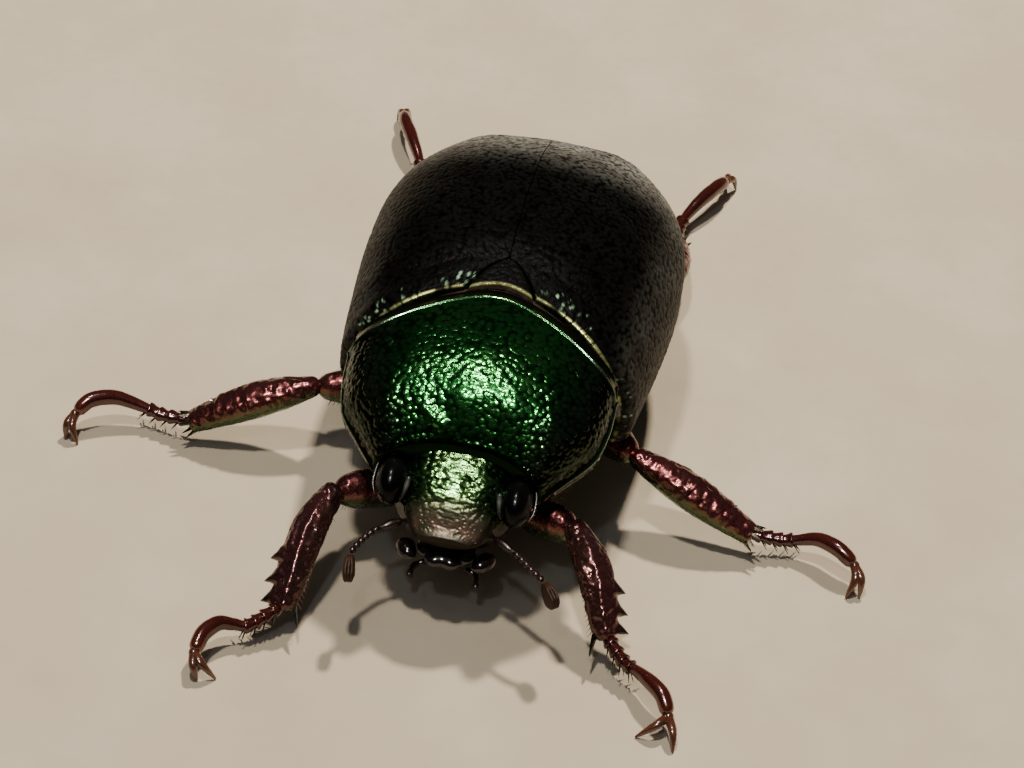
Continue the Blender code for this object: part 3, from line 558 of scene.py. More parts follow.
stalk_red = cuticle("stalk_red", (0.026, 0.008, 0.005), (0.016, 0.006, 0.004), 0.3, 0.30,
                    grain=0.12, depth=0.004, coat=0.1)
jaw_black = cuticle("jaw_black", (0.010, 0.006, 0.007), (0.022, 0.009, 0.009), 0.4, 0.16,
                    grain=0.2, depth=0.003, coat=0.5)
below_olive = cuticle("below_olive", (0.050, 0.050, 0.022), (0.070, 0.038, 0.024), 0.75, 0.32,
                      grain=0.18, depth=0.016, coat=0.1, pit=True)
joint_brown = cuticle("joint_brown", (0.050, 0.028, 0.018), (0.030, 0.020, 0.013), 0.0, 0.36,
                      grain=0.08, depth=0.006)
rim_grey = cuticle("rim_grey", (0.17, 0.17, 0.145), (0.11, 0.12, 0.10), 0.4, 0.35,
                   grain=0.08, depth=0.004, coat=0.2)
hair_straw = cuticle("hair_straw", (0.32, 0.22, 0.10), (0.24, 0.15, 0.06), 0.0, 0.4,
                     grain=0.1, depth=0.001)
print("finishes:", len(bpy.data.materials))

# %% [markdown]
# ## The floor
#
# A plain pale floor, matt, with the faintest mottling so that it doesn't look like paper.

# %% Floor
FLOOR_HALF = 700.0
FLOOR_RISE = -0.005
line = np.linspace(-FLOOR_HALF, FLOOR_HALF, 9)
floor_x, floor_y = np.meshgrid(line, line, indexing="ij")
floor_grid = np.stack([floor_x, floor_y, np.full_like(floor_x, FLOOR_RISE)], -1)
floor_points, floor_faces, floor_colours = patch(floor_grid, around=False)
floor_mesh = bpy.data.meshes.new("floor")
floor_mesh.from_pydata((floor_points * MM).tolist(), [], floor_faces.tolist())
floor_mesh.materials.append(cuticle("floor_pale", (0.505, 0.402, 0.272), (0.575, 0.470, 0.328),
                                    0.0, 0.75, grain=1.2, depth=0.02, cloud=9))
floor_paint = floor_mesh.attributes.new("paint", "FLOAT_COLOR", "POINT")
floor_paint.data.foreach_set("color", floor_colours.ravel())
floor = bpy.data.objects.new("floor", floor_mesh)
bpy.context.scene.collection.objects.link(floor)
print("floor half width:", FLOOR_HALF, "mm")

# %% [markdown]
# ## Wing cases
#
# The two wing cases are arched shells that meet along the middle line. Seen from above each runs
# from a rounded shoulder, swells to its widest place behind the middle, and ends in a blunt round
# tip. The section is an arch that turns in below the widest line and ends in a lip.

# %% Outline and arch of the wing cases
GAP = 0.3
SHOULDER_Y, WIDEST_Y, APEX_Y, APEX_CURVE_Y = -2.9, 4.5, 11.9, 12.0
SHOULDER_HALF_WIDTH, CASE_HALF_WIDTH, APEX_BLUNTNESS = 6.15, 6.9, 2.45
WIDEST_Z, SHELL, LIP_ANGLE, ROUNDING = 5.7, 0.7, math.radians(108), 0.9
SHIELD_BACK_Y, BASE_BOW, BASE_BOW_WIDTH, BASE_BOW_ROUNDING = -1.95, 2.6, 5.7, 0.2
SCUTELLUM_LENGTH, SCUTELLUM_HALF_WIDTH = 1.6, 1.5
SEAM, EDGE_ROUNDS = 0.02, 12
case_top = curve([(-2.9, 9.55), (0.0, 10.5), (2.5, 10.8), (6.0, 10.45), (8.6, 9.5), (10.3, 8.45),
                  (11.4, 7.1), (12.0, 6.1)])


def case_half_width(y):
    """Shoulder, then a quarter sine to the widest place, then a blunt rounded end."""
    ahead = np.clip((y - SHOULDER_Y) / (WIDEST_Y - SHOULDER_Y), 0, 1)
    swell = SHOULDER_HALF_WIDTH + (CASE_HALF_WIDTH - SHOULDER_HALF_WIDTH) * np.sin(ahead * math.pi / 2)
    shoulder = 1 - 0.10 * np.clip(SHOULDER_Y + 1.0 - y, 0, 1) ** 2
    behind = np.clip((y - WIDEST_Y) / (APEX_CURVE_Y - WIDEST_Y), 0, 1)
    return swell * shoulder * np.sqrt(np.clip(1 - behind**APEX_BLUNTNESS, 0, 1))


def base_line(x):
    """Where the shield meets the wing cases: a rounded V, the hypotenuse of x and a small number."""
    reach = np.hypot(x / BASE_BOW_WIDTH, BASE_BOW_ROUNDING) - BASE_BOW_ROUNDING
    return SHIELD_BACK_Y - BASE_BOW * reach / (math.hypot(1, BASE_BOW_ROUNDING) - BASE_BOW_ROUNDING)


def scutellum_edge(y):
    """Half the width of the scutellum: a triangle with bowed sides."""
    reach = np.clip((SHIELD_BACK_Y + SCUTELLUM_LENGTH - y) / SCUTELLUM_LENGTH, 0, 1)
    return SCUTELLUM_HALF_WIDTH * reach**0.6


def suture_edge(y):
    """The inner edge of a wing case: round the scutellum, along the seam, apart at the tips."""
    notch = 0.9 * np.clip((y - 10.7) / 1.2, 0, 1) ** 2
    return SEAM + notch + scutellum_edge(y)


def inner_edge(y, share):
    """The inner edge read where the row really lies, once it is bent forward to the base line."""
    place = y
    for _ in range(EDGE_ROUNDS):
        place = y + (base_line(suture_edge(place)) + GAP - SHOULDER_Y) * (1 - share) ** 3
    return suture_edge(place)


def case_arch(share, turn, side, inset):
    """The arch: x from the sine of the turn, z from its cosine, each to a power just below 1."""
    y = SHOULDER_Y + (APEX_Y - SHOULDER_Y) * np.sin(share * math.pi / 2) ** 0.9
    half, top, inner = case_half_width(y) - inset, case_top(y) - inset, inner_edge(y, share)
    x = inner + (half - inner) * signed_power(np.sin(turn), ROUNDING)
    z = WIDEST_Z + (top - WIDEST_Z) * signed_power(np.cos(turn), ROUNDING)
    lead = (base_line(x) + GAP - SHOULDER_Y) * (1 - share) ** 3
    return np.stack([side * x, y + lead, z], -1)


print("widest:", float(case_half_width(np.array(WIDEST_Y))) * 2, "mm, highest:", float(case_top(2.5)))

# %% [markdown]
# The surface is granulate all over, wrinkled across near the tips, with a fine raised edge along
# the seam and the side. The front edge is a bright gold-green bead, and behind it a few larger
# grains carry painted glints. The sides and the tips are painted greyer than the nearly black
# back, a painted sheen, and the grooves between grains get painted shade.

# %% Relief and colour of the wing cases
CASE_ROWS, CASE_COLUMNS, INNER_STEP = 330, 241, 5
CASE_GRAIN, EDGE_BACK, EDGE_WIDTH = 0.19, 0.10, 0.055
GOLD_GREEN, PAINTED_GLINT_GREEN = (240.0, 260.0, 120.0), (140.0, 240.0, 180.0)
JOINT_TONE, SHEEN_TONE = (5.0, 2.8, 1.6), np.array((1.05, 1.03, 1.05))
TIP_SHEEN, SIDE_SHEEN = 42, 7
COARSE_HIGH, ROWS_HIGH, WRINKLE_HIGH, WAVES_HIGH = 0.024, 0.016, 0.036, 0.05
CALLUS_HIGH, SHOULDER_HIGH = 0.14, 0.10
FRONT_BEAD, SIDE_BEAD, SEAM_BEAD = 0.06, 0.05, 0.02
WRINKLE_LENGTH = 0.42


def with_gold(paint, gold):
    """The fourth number falls to 0, the metallic second look, where the gold is."""
    return np.concatenate([paint, 1 - np.clip(gold * 1.6, 0, 1)[..., None]], -1)


def wing_case(side, word):
    """Outer arch with relief, then the inner arch back to the seam, closed at both ends."""
    share, turn = np.meshgrid(even(CASE_ROWS), even(CASE_COLUMNS) * LIP_ANGLE, indexing="ij")
    outer = case_arch(share, turn, side, 0.0)
    inner = case_arch(share, turn, side, SHELL)[:, ::-1]
    x, y = np.abs(outer[..., 0]), outer[..., 1]
    round_share = turn / LIP_ANGLE
    back = y - (base_line(x) + GAP)
    edge_front = bump_at(back, EDGE_BACK, EDGE_WIDTH)
    edge_side = bump_at(round_share, 0.90, 0.018) * smooth_step(-2.2, 0, y)
    edge_seam = bump_at(x - suture_edge(y), 0.10, 0.10) * smooth_step(0, 1, y)
    keep = smooth_step(0.1, 0.5, back) * (1 - smooth_step(0.95, 1.0, share))
    grain = flat_grains(outer, CASE_GRAIN, 3 + side)
    rows = grains(outer * (1.0, 0.75, 1.0), 0.26, 9) * smooth_step(2.6, 0.4, back)
    painted_glint_patches = smooth_step(0.10, 0.45, clouds(outer, 0.36, 11) + 0.5 * clouds(outer, 1.6, 12))
    wrinkle = np.sin(2 * math.pi * (y + 0.35 * clouds(outer, 1.3, 5)) / WRINKLE_LENGTH)
    wrinkle = wrinkle * smooth_step(8.3, 9.8, y) * (0.6 + 0.4 * clouds(outer, 2.0, 6))
    callus = CALLUS_HIGH * bump_at(y, 10.1, 1.0) * bump_at(x, 3.1, 1.2)
    shoulder = SHOULDER_HIGH * bump_at(y, -1.3, 0.9) * bump_at(x, 5.0, 0.9)
    coarse = COARSE_HIGH * (grain - 0.5) * (1 + 0.6 * smooth_step(0.4, 0.7, round_share))
    waves = WAVES_HIGH * clouds(outer, 3.2, 2)
    height = (coarse + ROWS_HIGH * rows + WRINKLE_HIGH * wrinkle + waves) * keep
    height = (height + callus + shoulder + FRONT_BEAD * edge_front + SIDE_BEAD * edge_side
              + SEAM_BEAD * edge_seam)
    gold = edge_front * (0.45 + 0.55 * clouds(outer, 0.8, 8))
    # Painted glints: bright mint dots on some grains behind the front edge, set in the colour.
    glint = smooth_step(0.75, 0.92, rows) * painted_glint_patches * smooth_step(2.4, 0.8, back) * keep
    paint = (1 + gold[..., None] * (np.array(GOLD_GREEN) - 1)
             + glint[..., None] * (np.array(PAINTED_GLINT_GREEN) - 1))
    # Painted shade and light on the grain: the grooves are darker, the grain tops lighter.
    paint = paint * (0.10 + 1.3 * grain)[..., None]
    # Painted sheen: the tips and the sides are painted lighter and greyer, where the shell mirrors the
    # bright floor.
    painted_sheen = TIP_SHEEN * smooth_step(5.0, 10.0, y) + SIDE_SHEEN * smooth_step(0.42, 0.62, round_share)
    painted_sheen = painted_sheen * (1 + 0.3 * clouds(outer, 0.3, 14)) * (0.1 + 1.3 * grain) * keep
    paint = with_gold(paint + painted_sheen[..., None] * SHEEN_TONE, gold)
    skin = raised(outer, height, around=False)
    piece("wing_case_" + word, [closed_plate(skin, inner, paint, INNER_STEP)], case_black,
          ["elytron_" + word])


for side, word in SIDES:
    wing_case(side, word)

# %% [markdown]
# ## Scutellum
#
# A small rounded triangle between the bases of the wing cases, level with them, so that only a
# fine curved line shows where it ends.

# %% Scutellum
CLEARANCE = 0.01


def seam_top(y):
    """The height of the seam at y, read along the inner edge of a wing case."""
    edge = case_arch(even(400), np.zeros(400), 1, 0.0)
    return np.interp(y, edge[:, 1], edge[:, 2])


def scutellum():
    """Rows that shrink toward the tip, crowned across, closed below."""
    share, across = np.meshgrid(even(60), np.linspace(-1, 1, 81), indexing="ij")
    start, end = SHIELD_BACK_Y + 0.12, SHIELD_BACK_Y + SCUTELLUM_LENGTH - CLEARANCE
    y = start + (end - start) * np.sin(share * math.pi / 2)
    x = np.maximum(suture_edge(y) - CLEARANCE, 0.0) * across
    y = y + (base_line(x) - SHIELD_BACK_Y) * (1 - share) ** 2
    half = np.maximum(suture_edge(y) - CLEARANCE, 0.0)
    x = np.clip(x, -half, half)
    z = seam_top(y) - 0.02 - 0.02 * x * x - 0.03 * np.abs(across) ** 12
    top = np.stack([x, y, z], -1)
    grain = flat_grains(top, CASE_GRAIN, 21) - 0.5
    top = raised(top, 0.016 * grain * (1 - across**6), around=False)
    back = y - base_line(x) - GAP
    gold = bump_at(back, EDGE_BACK, EDGE_WIDTH) * 0.45
    ahead = smooth_step(0.04, -0.04, back)[..., None]
    paint = 1 + gold[..., None] * (np.array(GOLD_GREEN) - 1) + ahead * (np.array(JOINT_TONE) - 1)
    under = top[:, ::-1] - (0, 0, SHELL)
    piece("scutellum_plate", [closed_plate(top, under, with_gold(paint, gold))], case_black,
          ["scutellum"])


scutellum()

# %% [markdown]
# ## Pronotum
#
# The shield over the forebody is convex both ways, with forward corners that hold the head, a
# fine bead at its sides and hind edge, and grain that is coarser toward the sides. Two low
# swellings and a slanting fold before them hold the bright spots of the photograph.

# %% The pronotum's curves
SHIELD_FRONT_Y, SHIELD_CORNER_Y, SHIELD_CORNER_X = -8.85, -9.45, 3.35
shield_half = curve([(0.0, 3.5), (0.15, 4.25), (0.45, 5.35), (0.75, 5.6), (1.0, 5.6)])
shield_top = curve([(0.0, 7.0), (0.1, 7.85), (0.3, 8.95), (0.53, 9.45), (0.75, 9.65), (1.0, 9.7)])
shield_edge = curve([(0.0, 5.35), (0.45, 6.0), (0.75, 6.7), (1.0, 7.6)])


def shield_arch(share, angle):
    """An arch across from edge to edge, whose rows follow the curved front and hind lines."""
    half, top, edge = shield_half(share), shield_top(share), shield_edge(share)
    x = half * signed_power(np.sin(angle), ROUNDING)
    z = edge + (top - edge) * np.abs(np.cos(angle)) ** ROUNDING
    corner = np.clip(np.abs(x) / SHIELD_CORNER_X, 0, 1) ** 2.5
    front = SHIELD_FRONT_Y + (SHIELD_CORNER_Y - SHIELD_FRONT_Y) * corner
    y = front + (base_line(x) - front) * share
    return np.stack([x, y, z], -1)


# %% Pronotum
HIND_BEAD_Y = 0.55
BELOW_STEP = 6
SHIELD_GRAIN = 0.22
SWELLINGS = ((-0.25, -7.75), (1.7, -7.6))
FOLD_SPOT, FOLD_WAY = (-1.19, -8.3), (0.908, -0.419)
SIDE_TINT, BEAD_PALE, BAND_TONE = (5.5, 0.85, 3.2), (9.0, 2.6, 7.0), (1.3, 0.26, 0.55)
# Painted shade: the front wall and the underside of the shield are painted dark.
UNDER_SHADE, FRONT_SHADE = (0.6, 0.10, 0.2), (0.05, 0.07, 0.05)
DOME_HIGH, SWELLING_HIGH, FOLD_HIGH, FOVEA_DEEP, BEAD_HIGH = 0.13, 0.10, 0.11, 0.10, 0.08


def pronotum():
    """The arch with grain and beads, and an underside that closes it a little below."""
    share, angle = np.meshgrid(even(250) ** 1.1, np.linspace(-1, 1, 319) * math.pi / 2, indexing="ij")
    top = shield_arch(share, angle)
    x, y = top[..., 0], top[..., 1]
    reach = np.abs(x) / shield_half(share)
    back = base_line(x) - y
    front = share * 6
    steep = np.degrees(np.abs(angle))
    bead_side, hollow = bump_at(steep, 86, 1.7), bump_at(steep, 80, 3.2)
    bead_back, bead_front = bump_at(back, HIND_BEAD_Y, 0.05), bump_at(front, 0.10, 0.06)
    keep = smooth_step(0.62, 0.85, back) * smooth_step(0.0, 0.12, front) * (1 - bead_side)
    aside = smooth_step(0.4, 0.7, reach)
    grain = flat_grains(top, SHIELD_GRAIN, 12) * (1 - aside) + grains(top, SHIELD_GRAIN, 12) * aside
    crown = sum(bump_at(x, left, 0.58) * bump_at(y, ahead, 0.7) for left, ahead in SWELLINGS)
    from_x, from_y = x - FOLD_SPOT[0], y - FOLD_SPOT[1]
    fold = (bump_at(from_y * FOLD_WAY[0] - from_x * FOLD_WAY[1], 0, 0.2)
            * bump_at(from_x * FOLD_WAY[0] + from_y * FOLD_WAY[1], 0, 0.75))
    fovea = bump_at(np.abs(x), 3.6, 0.45) * bump_at(y, -5.6, 0.5)
    dome = bump_at(x, 0.3, 1.9) * smooth_step(0.05, 0.25, share) * smooth_step(1.0, 0.7, share)
    amplitude = 0.025 * (0.8 + 0.6 * reach**1.5) * (1 - 0.6 * np.clip(crown, 0, 1))
    height = (amplitude * (grain - 0.5) + 0.02 * clouds(top, 2.4, 4) - 0.05 * hollow) * keep
    height = (height + DOME_HIGH * dome + SWELLING_HIGH * crown + FOLD_HIGH * fold
              - FOVEA_DEEP * fovea + BEAD_HIGH * bead_side + 0.05 * bead_back
              + 0.02 * bead_front - 0.10 * smooth_step(HIND_BEAD_Y, 0.1, back))
    # Painted shade: the colour is darker toward the sides, the front rows and the grooves between grains,
    # and lighter in the middle.
    middle = (1 - smooth_step(0.35, 0.85, reach)) * smooth_step(0.0, 0.6, front)
    rim = smooth_step(0.80, 0.92, reach) + smooth_step(0.35, 0.0, front)
    painted_shade = 0.60 + 0.40 * middle - 0.35 * np.clip(rim, 0, 1)
    painted_shade = painted_shade * (0.2 + 0.8 * smooth_step(0.0, 0.2, front))
    painted_shade = painted_shade * (0.35 + 1.05 * grain * keep + 0.65 * (1 - keep))
    paint = blend(1, SIDE_TINT, smooth_step(0.55, 0.95, reach) * 0.6) * painted_shade[..., None]
    pale = np.maximum(bead_side * 0.8 * smooth_step(0.25, 0.45, share),
                      bead_back * (0.5 + 0.3 * clouds(top, 0.5, 16)))
    paint = blend(paint, BEAD_PALE, pale)
    paint = blend(paint, BAND_TONE, smooth_step(HIND_BEAD_Y - 0.08, HIND_BEAD_Y - 0.2, back))
    skin = raised(top, height, around=False)
    low = shield_edge(share) - 0.10 - 0.62 * np.clip(1 - reach**5, 0, 1)
    under = np.stack([x, y, low], -1)[:, ::-1]
    piece("pronotum_shield", [closed_plate(skin, under, paint, BELOW_STEP, UNDER_SHADE, FRONT_SHADE)],
          shield_green, ["pronotum"])


pronotum()

# %% [markdown]
# Between shield and wing cases lies the joint, a brown strip of soft skin sunk in the groove.
# It is a thin rod that follows the hind line from side to side.

# %% The joint behind the pronotum
def joint_strip():
    """A flattened rod on the hind line, a little lower than both plates."""
    angle = np.linspace(-1, 1, 121) * math.radians(84)
    hind = shield_arch(np.ones_like(angle), angle)
    ahead = case_arch(np.zeros_like(angle), np.abs(angle), 1, 0.0)
    ahead[:, 0] *= np.sign(angle) + (angle == 0)
    path = np.stack([hind[:, 0], hind[:, 1] + 0.14, np.minimum(hind[:, 2], ahead[:, 2]) - 0.22], 1)
    size = closing(even(121), 0.02, 0.02)
    piece("joint_strip", [patch(carry(path, 0.30 * size, 0.2 * size, sides=14))], joint_brown)


joint_strip()

# %% [markdown]
# ## Head
#
# The head is the part that is looked at first. The forehead is green and coarsely grained. A
# shallow groove parts it from the clypeus, the coppery front plate with a thin raised rim. The
# eyes sit in the corners between forehead and shield, each between a blade and a thin rim.

# %% The head's curves
CLYPEUS_TIP_Y, HEAD_BACK_Y, GROOVE_Y = -11.62, -8.5, -10.82
head_half = curve([(-11.62, 1.05), (-11.4, 1.4), (-11.0, 1.7), (-10.5, 2.0), (-10.0, 2.35), (-9.6, 2.5),
                   (-8.5, 2.45)])
head_top = curve([(-11.62, 4.3), (-11.4, 4.6), (-10.9, 5.15), (-10.3, 5.75), (-9.6, 6.3), (-8.5, 6.75)])
head_low = curve([(-11.62, 3.95), (-11.1, 3.75), (-10.6, 3.1), (-9.6, 2.9), (-8.5, 3.1)])


def head_ring(share, angle):
    """A squared ring: powers of cosine and sine give flat cheeks and a flat forehead."""
    y = CLYPEUS_TIP_Y + (HEAD_BACK_Y - CLYPEUS_TIP_Y) * share
    half, top, low = head_half(y), head_top(y), head_low(y)
    middle = low + (top - low) * (0.35 + 0.10 * smooth_step(-11.3, -10.8, y))
    x = half * signed_power(np.cos(angle), 0.75)
    tall = np.where(np.sin(angle) > 0, top - middle, middle - low)
    z = middle + tall * signed_power(np.sin(angle), 0.8)
    return np.stack([x, y + 0.10 * (x / half) ** 2 * (1 - share), z], -1)


# %% Head
TEMPLE_SHADE, TAUPE, ROSE = (0.26, 0.34, 0.42), (0.90, 0.39, 0.80), (2.7, 0.80, 2.0)
RIM_PALE, THROAT_SHADE = (4.5, 1.6, 3.8), (0.25, 0.09, 0.16)
FOREHEAD_GRAIN, PLATE_PITS, RIM_HIGH, GROOVE_DEEP, DENT_DEEP = 0.036, 0.032, 0.06, 0.025, 0.05


def head():
    """Rings from the rim of the clypeus back under the shield, closed at both ends."""
    share, angle = tube_places(150, 1.3, 240)
    grid = head_ring(share, angle)
    x, y = grid[..., 0], grid[..., 1]
    upper = smooth_step(0.05, 0.35, np.sin(angle))
    reach = np.abs(x) / head_half(y)
    plate = smooth_step(GROOVE_Y + 0.05, GROOVE_Y - 0.1, y) * upper
    dent = bump_at(y, -11.3, 0.25)
    rim = np.maximum(bump_at(reach, 0.97, 0.05) * smooth_step(-10.5, -11.0, y),
                     bump_at(y, CLYPEUS_TIP_Y + 0.07, 0.09)) * upper
    bow = y - 0.22 * np.clip(1 - (x / 1.8) ** 2, 0, 1)
    groove = bump_at(bow, GROOVE_Y, 0.09) * upper * smooth_step(1.95, 1.6, np.abs(x))
    coarse, fine = flat_grains(grid, 0.20, 31), pits(grid, 0.17, 33)
    brows = (0.05 * bump_at(np.abs(x), 0.9, 0.5) * bump_at(y, -10.0, 0.5)
             - 0.08 * bump_at(x, 0.1, 0.5) * bump_at(y, -9.95, 0.4)) * upper
    keep = upper * (1 - rim) * smooth_step(0, 0.03, share)
    height = (FOREHEAD_GRAIN * (coarse - 0.5) * (1 - plate) - PLATE_PITS * fine * plate) * keep
    height = height + RIM_HIGH * rim - GROOVE_DEEP * groove + brows - DENT_DEEP * dent * plate
    fade = smooth_step(-10.25, -11.0, y + 0.2 * clouds(grid, 0.5, 35))
    # Painted shade: the sides of the forehead are darkened so that the bright spot stays in the middle.
    paint = blend(1, TEMPLE_SHADE, smooth_step(0.25, 0.72, np.abs(x + 0.1) / head_half(y)))
    # Painted shade and light on the forehead grain: the grooves are darker, the grain tops lighter.
    paint = blend(paint * (0.3 + 1.1 * coarse)[..., None], TAUPE, fade)
    paint = blend(paint, ROSE, dent * np.clip(0.4 + 0.9 * clouds(grid, 0.45, 37), 0, 1) * upper)
    paint = blend(paint, RIM_PALE, rim * (0.12 + 0.3 * clouds(grid, 0.6, 36)))
    # Painted shade: the front edge of the clypeus and the cheeks before the eyes are darkened.
    shaded_cheek = smooth_step(0.80, 0.92, reach) * smooth_step(-9.9, -10.3, y)
    edge = np.clip(smooth_step(-11.38, -11.56, y) + shaded_cheek, 0, 1)
    paint = paint * (1 - 0.72 * edge)[..., None]
    # Painted shade: the lower side of the head, which faces down, is darkened.
    paint = blend(paint, THROAT_SHADE, smooth_step(0.4, -0.1, np.sin(angle)))
    paint = np.concatenate([paint, 1 - fade[..., None]], -1)
    piece("head_capsule", [closed_rings(raised(grid, height), paint)], head_green,
          ["head"])


head()

# %% [markdown]
# An eye is a ball of thousands of tiny lenses. They are too fine to model, so the finish gives
# them as relief. A short tongue of the cheek lies before each eye, a thin rim outside it; the
# tongue carries a painted glint near its inner end.

# %% Eyes and blades
def ball(centre, radii, rows=48, columns=72):
    """Sine and cosine of latitude and longitude, times three radii."""
    tall, round_ = np.meshgrid(even(rows) * math.pi, turns(columns), indexing="ij")
    shape = np.stack([np.sin(tall) * np.cos(round_), np.sin(tall) * np.sin(round_), np.cos(tall)], -1)
    return np.asarray(centre) + shape * np.asarray(radii)


BLADE = ((1.86, -9.95, 5.9), (1.9, -10.15, 5.65), (1.98, -10.4, 5.35), (2.1, -10.6, 5.1))
EYE_RIM = ((3.14, -9.15, 6.0), (3.30, -9.5, 5.68), (3.33, -10.0, 5.3), (3.18, -10.4, 5.02))
for side, word in SIDES:
    mirror = np.array((side, 1, 1))
    piece("eye_ball_" + word, [patch(ball(EYE_CENTRE * mirror, EYE_RADII * (1.06, 1, 1)))], eye_black,
          ["eye_" + word])
    place = dense_ends(60)
    size = closing(place, 0.1, 0.35)
    blade = carry(path_through(BLADE * mirror, place), 0.11 * size, 0.09 * size, sides=16)
    # Painted glint: a pale spot near the inner end of the tongue, dark elsewhere.
    pale = np.ones_like(blade) * (0.07 + 0.68 * bump_at(place, 0.30, 0.20))[:, None, None]
    size = closing(place, 0.4, 0.4) * 0.048
    rim = carry(path_through(EYE_RIM * mirror, place), size, size, sides=14)
    piece("eye_blade_" + word, [patch(blade, paint=pale), patch(rim, paint=(0.25, 0.25, 0.25))],
          rim_grey)

# %% [markdown]
# ## Mouthparts
#
# Under the rim of the clypeus shows the labrum, a dark lip. The mandibles stand out at both
# sides as smooth black knobs with a bright glint, and two short jointed palps hang below.

# %% Labrum, mandibles, palps
JAW = ((1.6, -10.2, 2.34), (1.68, -10.85, 2.84), (1.22, -11.45, 2.84))
PALP = ((0.8, -10.4, 1.8), (1.3, -10.75, 1.75), (1.4, -11.35, 1.6))
jaw_size = curve([(0, 0.34), (0.5, 0.40), (0.8, 0.34), (1, 0.24)])
lip = ball((0, -11.42, 3.06), (0.78, 0.50, 0.34), 30, 48)
lip[..., 1] += 0.16 * bump_at(lip[..., 0], 0, 0.28) * (lip[..., 1] < -11.5)
piece("labrum_lip", [patch(lip)], jaw_black, ["labrum"])
mouth = ball((0, -10.5, 2.8), (1.25, 0.85, 0.55), 30, 48)
mouth = raised(mouth, 0.05 * clouds(mouth, 0.5, 44))
piece("mouth_floor", [patch(mouth)], jaw_black)
for side, word in SIDES:
    mirror = np.array((side, 1, 1))
    place = dense_ends(48)
    size = jaw_size(place) * closing(place, 0.2, 0.25)
    knob = carry(path_through(JAW * mirror, place), size, size * 0.85, sides=28)
    piece("jaw_" + word, [patch(knob)], jaw_black, ["mandible_" + word])
    place = even(90)
    size = 0.09 + 0.05 * np.abs(np.sin(place * math.pi * 3)) ** 0.5 + 0.02 * place
    size = size * closing(place, 0.05, 0.12)
    feeler = carry(path_through(PALP * mirror, place), size, size, sides=16)
    piece("feeler_" + word, [patch(feeler)], stalk_red, ["palp_" + word])

# %% [markdown]
# ## Antennae
#
# Each antenna is a string of small joints, the first one long and swollen, and ends in a club of
# three leaves that lie together like the pages of a book. Only the clubs show well from above.

# %% Antennae and clubs
STALKS = {
    "left": [(1.85, -10.6, 4.05), (2.9, -11.2, 3.95), (3.7, -11.75, 3.75), (4.25, -12.05, 3.55)],
    "right": [(-1.85, -10.6, 4.05), (-2.85, -11.35, 3.95), (-3.35, -12.1, 3.8), (-3.6, -12.55, 3.6)],
}
CLUB_AIMS = {"left": (0.55, -0.66, -0.42), "right": (0.12, -0.72, -0.62)}
CLUB_LENGTH, LONG_JOINT, BEADS = 1.15, 0.4, 6
leaf_width = curve([(0, 0.20), (0.3, 0.36), (0.75, 0.42), (1, 0.32)])


def stalk(word):
    """A long first joint, then six beads: the beads are the absolute value of a sine."""
    place = even(150)
    path = path_through(STALKS[word], place)
    first = 0.19 * np.sin(np.clip(place / LONG_JOINT, 0, 1) * math.pi) ** 0.6 * (place < LONG_JOINT)
    beyond = np.clip(place - LONG_JOINT, 0, 1) / (1 - LONG_JOINT)
    beads = 0.09 + 0.06 * np.abs(np.sin(beyond * math.pi * BEADS)) ** 0.6
    ends = closing(place, 0.03, 0.05)
    size = np.maximum(np.maximum(first, beads * (place > 0.35)), 0.08) * ends
    piece("antenna_stalk_" + word, [patch(carry(path, size, size, sides=18))], stalk_red,
          ["antenna_" + word])


def club(word):
    """Three flat leaves, fanned a little: each a profile that swells and closes at both ends."""
    aim = unit(CLUB_AIMS[word])
    across = unit(np.cross(aim, (0, 0, 1)))
    root = np.array(STALKS[word][-1]) + aim * 0.05
    place = dense_ends(50)
    ends = closing(place, 0.15, 0.3)
    leaves = []
    for turn in (-1, 0, 1):
        points = [root + aim * CLUB_LENGTH * share + across * fan * turn
                  for share, fan in ((0, 0.04), (0.5, 0.13), (1, 0.10))]
        leaf = carry(path_through(points, place), leaf_width(place) * ends, 0.125 * ends, up=across,
                     sides=26)
        leaves.append(patch(raised(leaf, 0.008 * clouds(leaf, 0.12, 50 + turn))))
    piece("antenna_leaves_" + word, leaves, club_amber, ["antenna_club_" + word])


for word in STALKS:
    stalk(word)
    club(word)

# %% [markdown]
# ## Legs
#
# Each leg has five parts: a hip sunk in the body, a flattened thigh, a shin, a foot of five
# joints, and a pair of hooked claws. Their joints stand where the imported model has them: thirteen
# points from the root of the thigh over knee and ankle to the end of the foot and two claw tips.

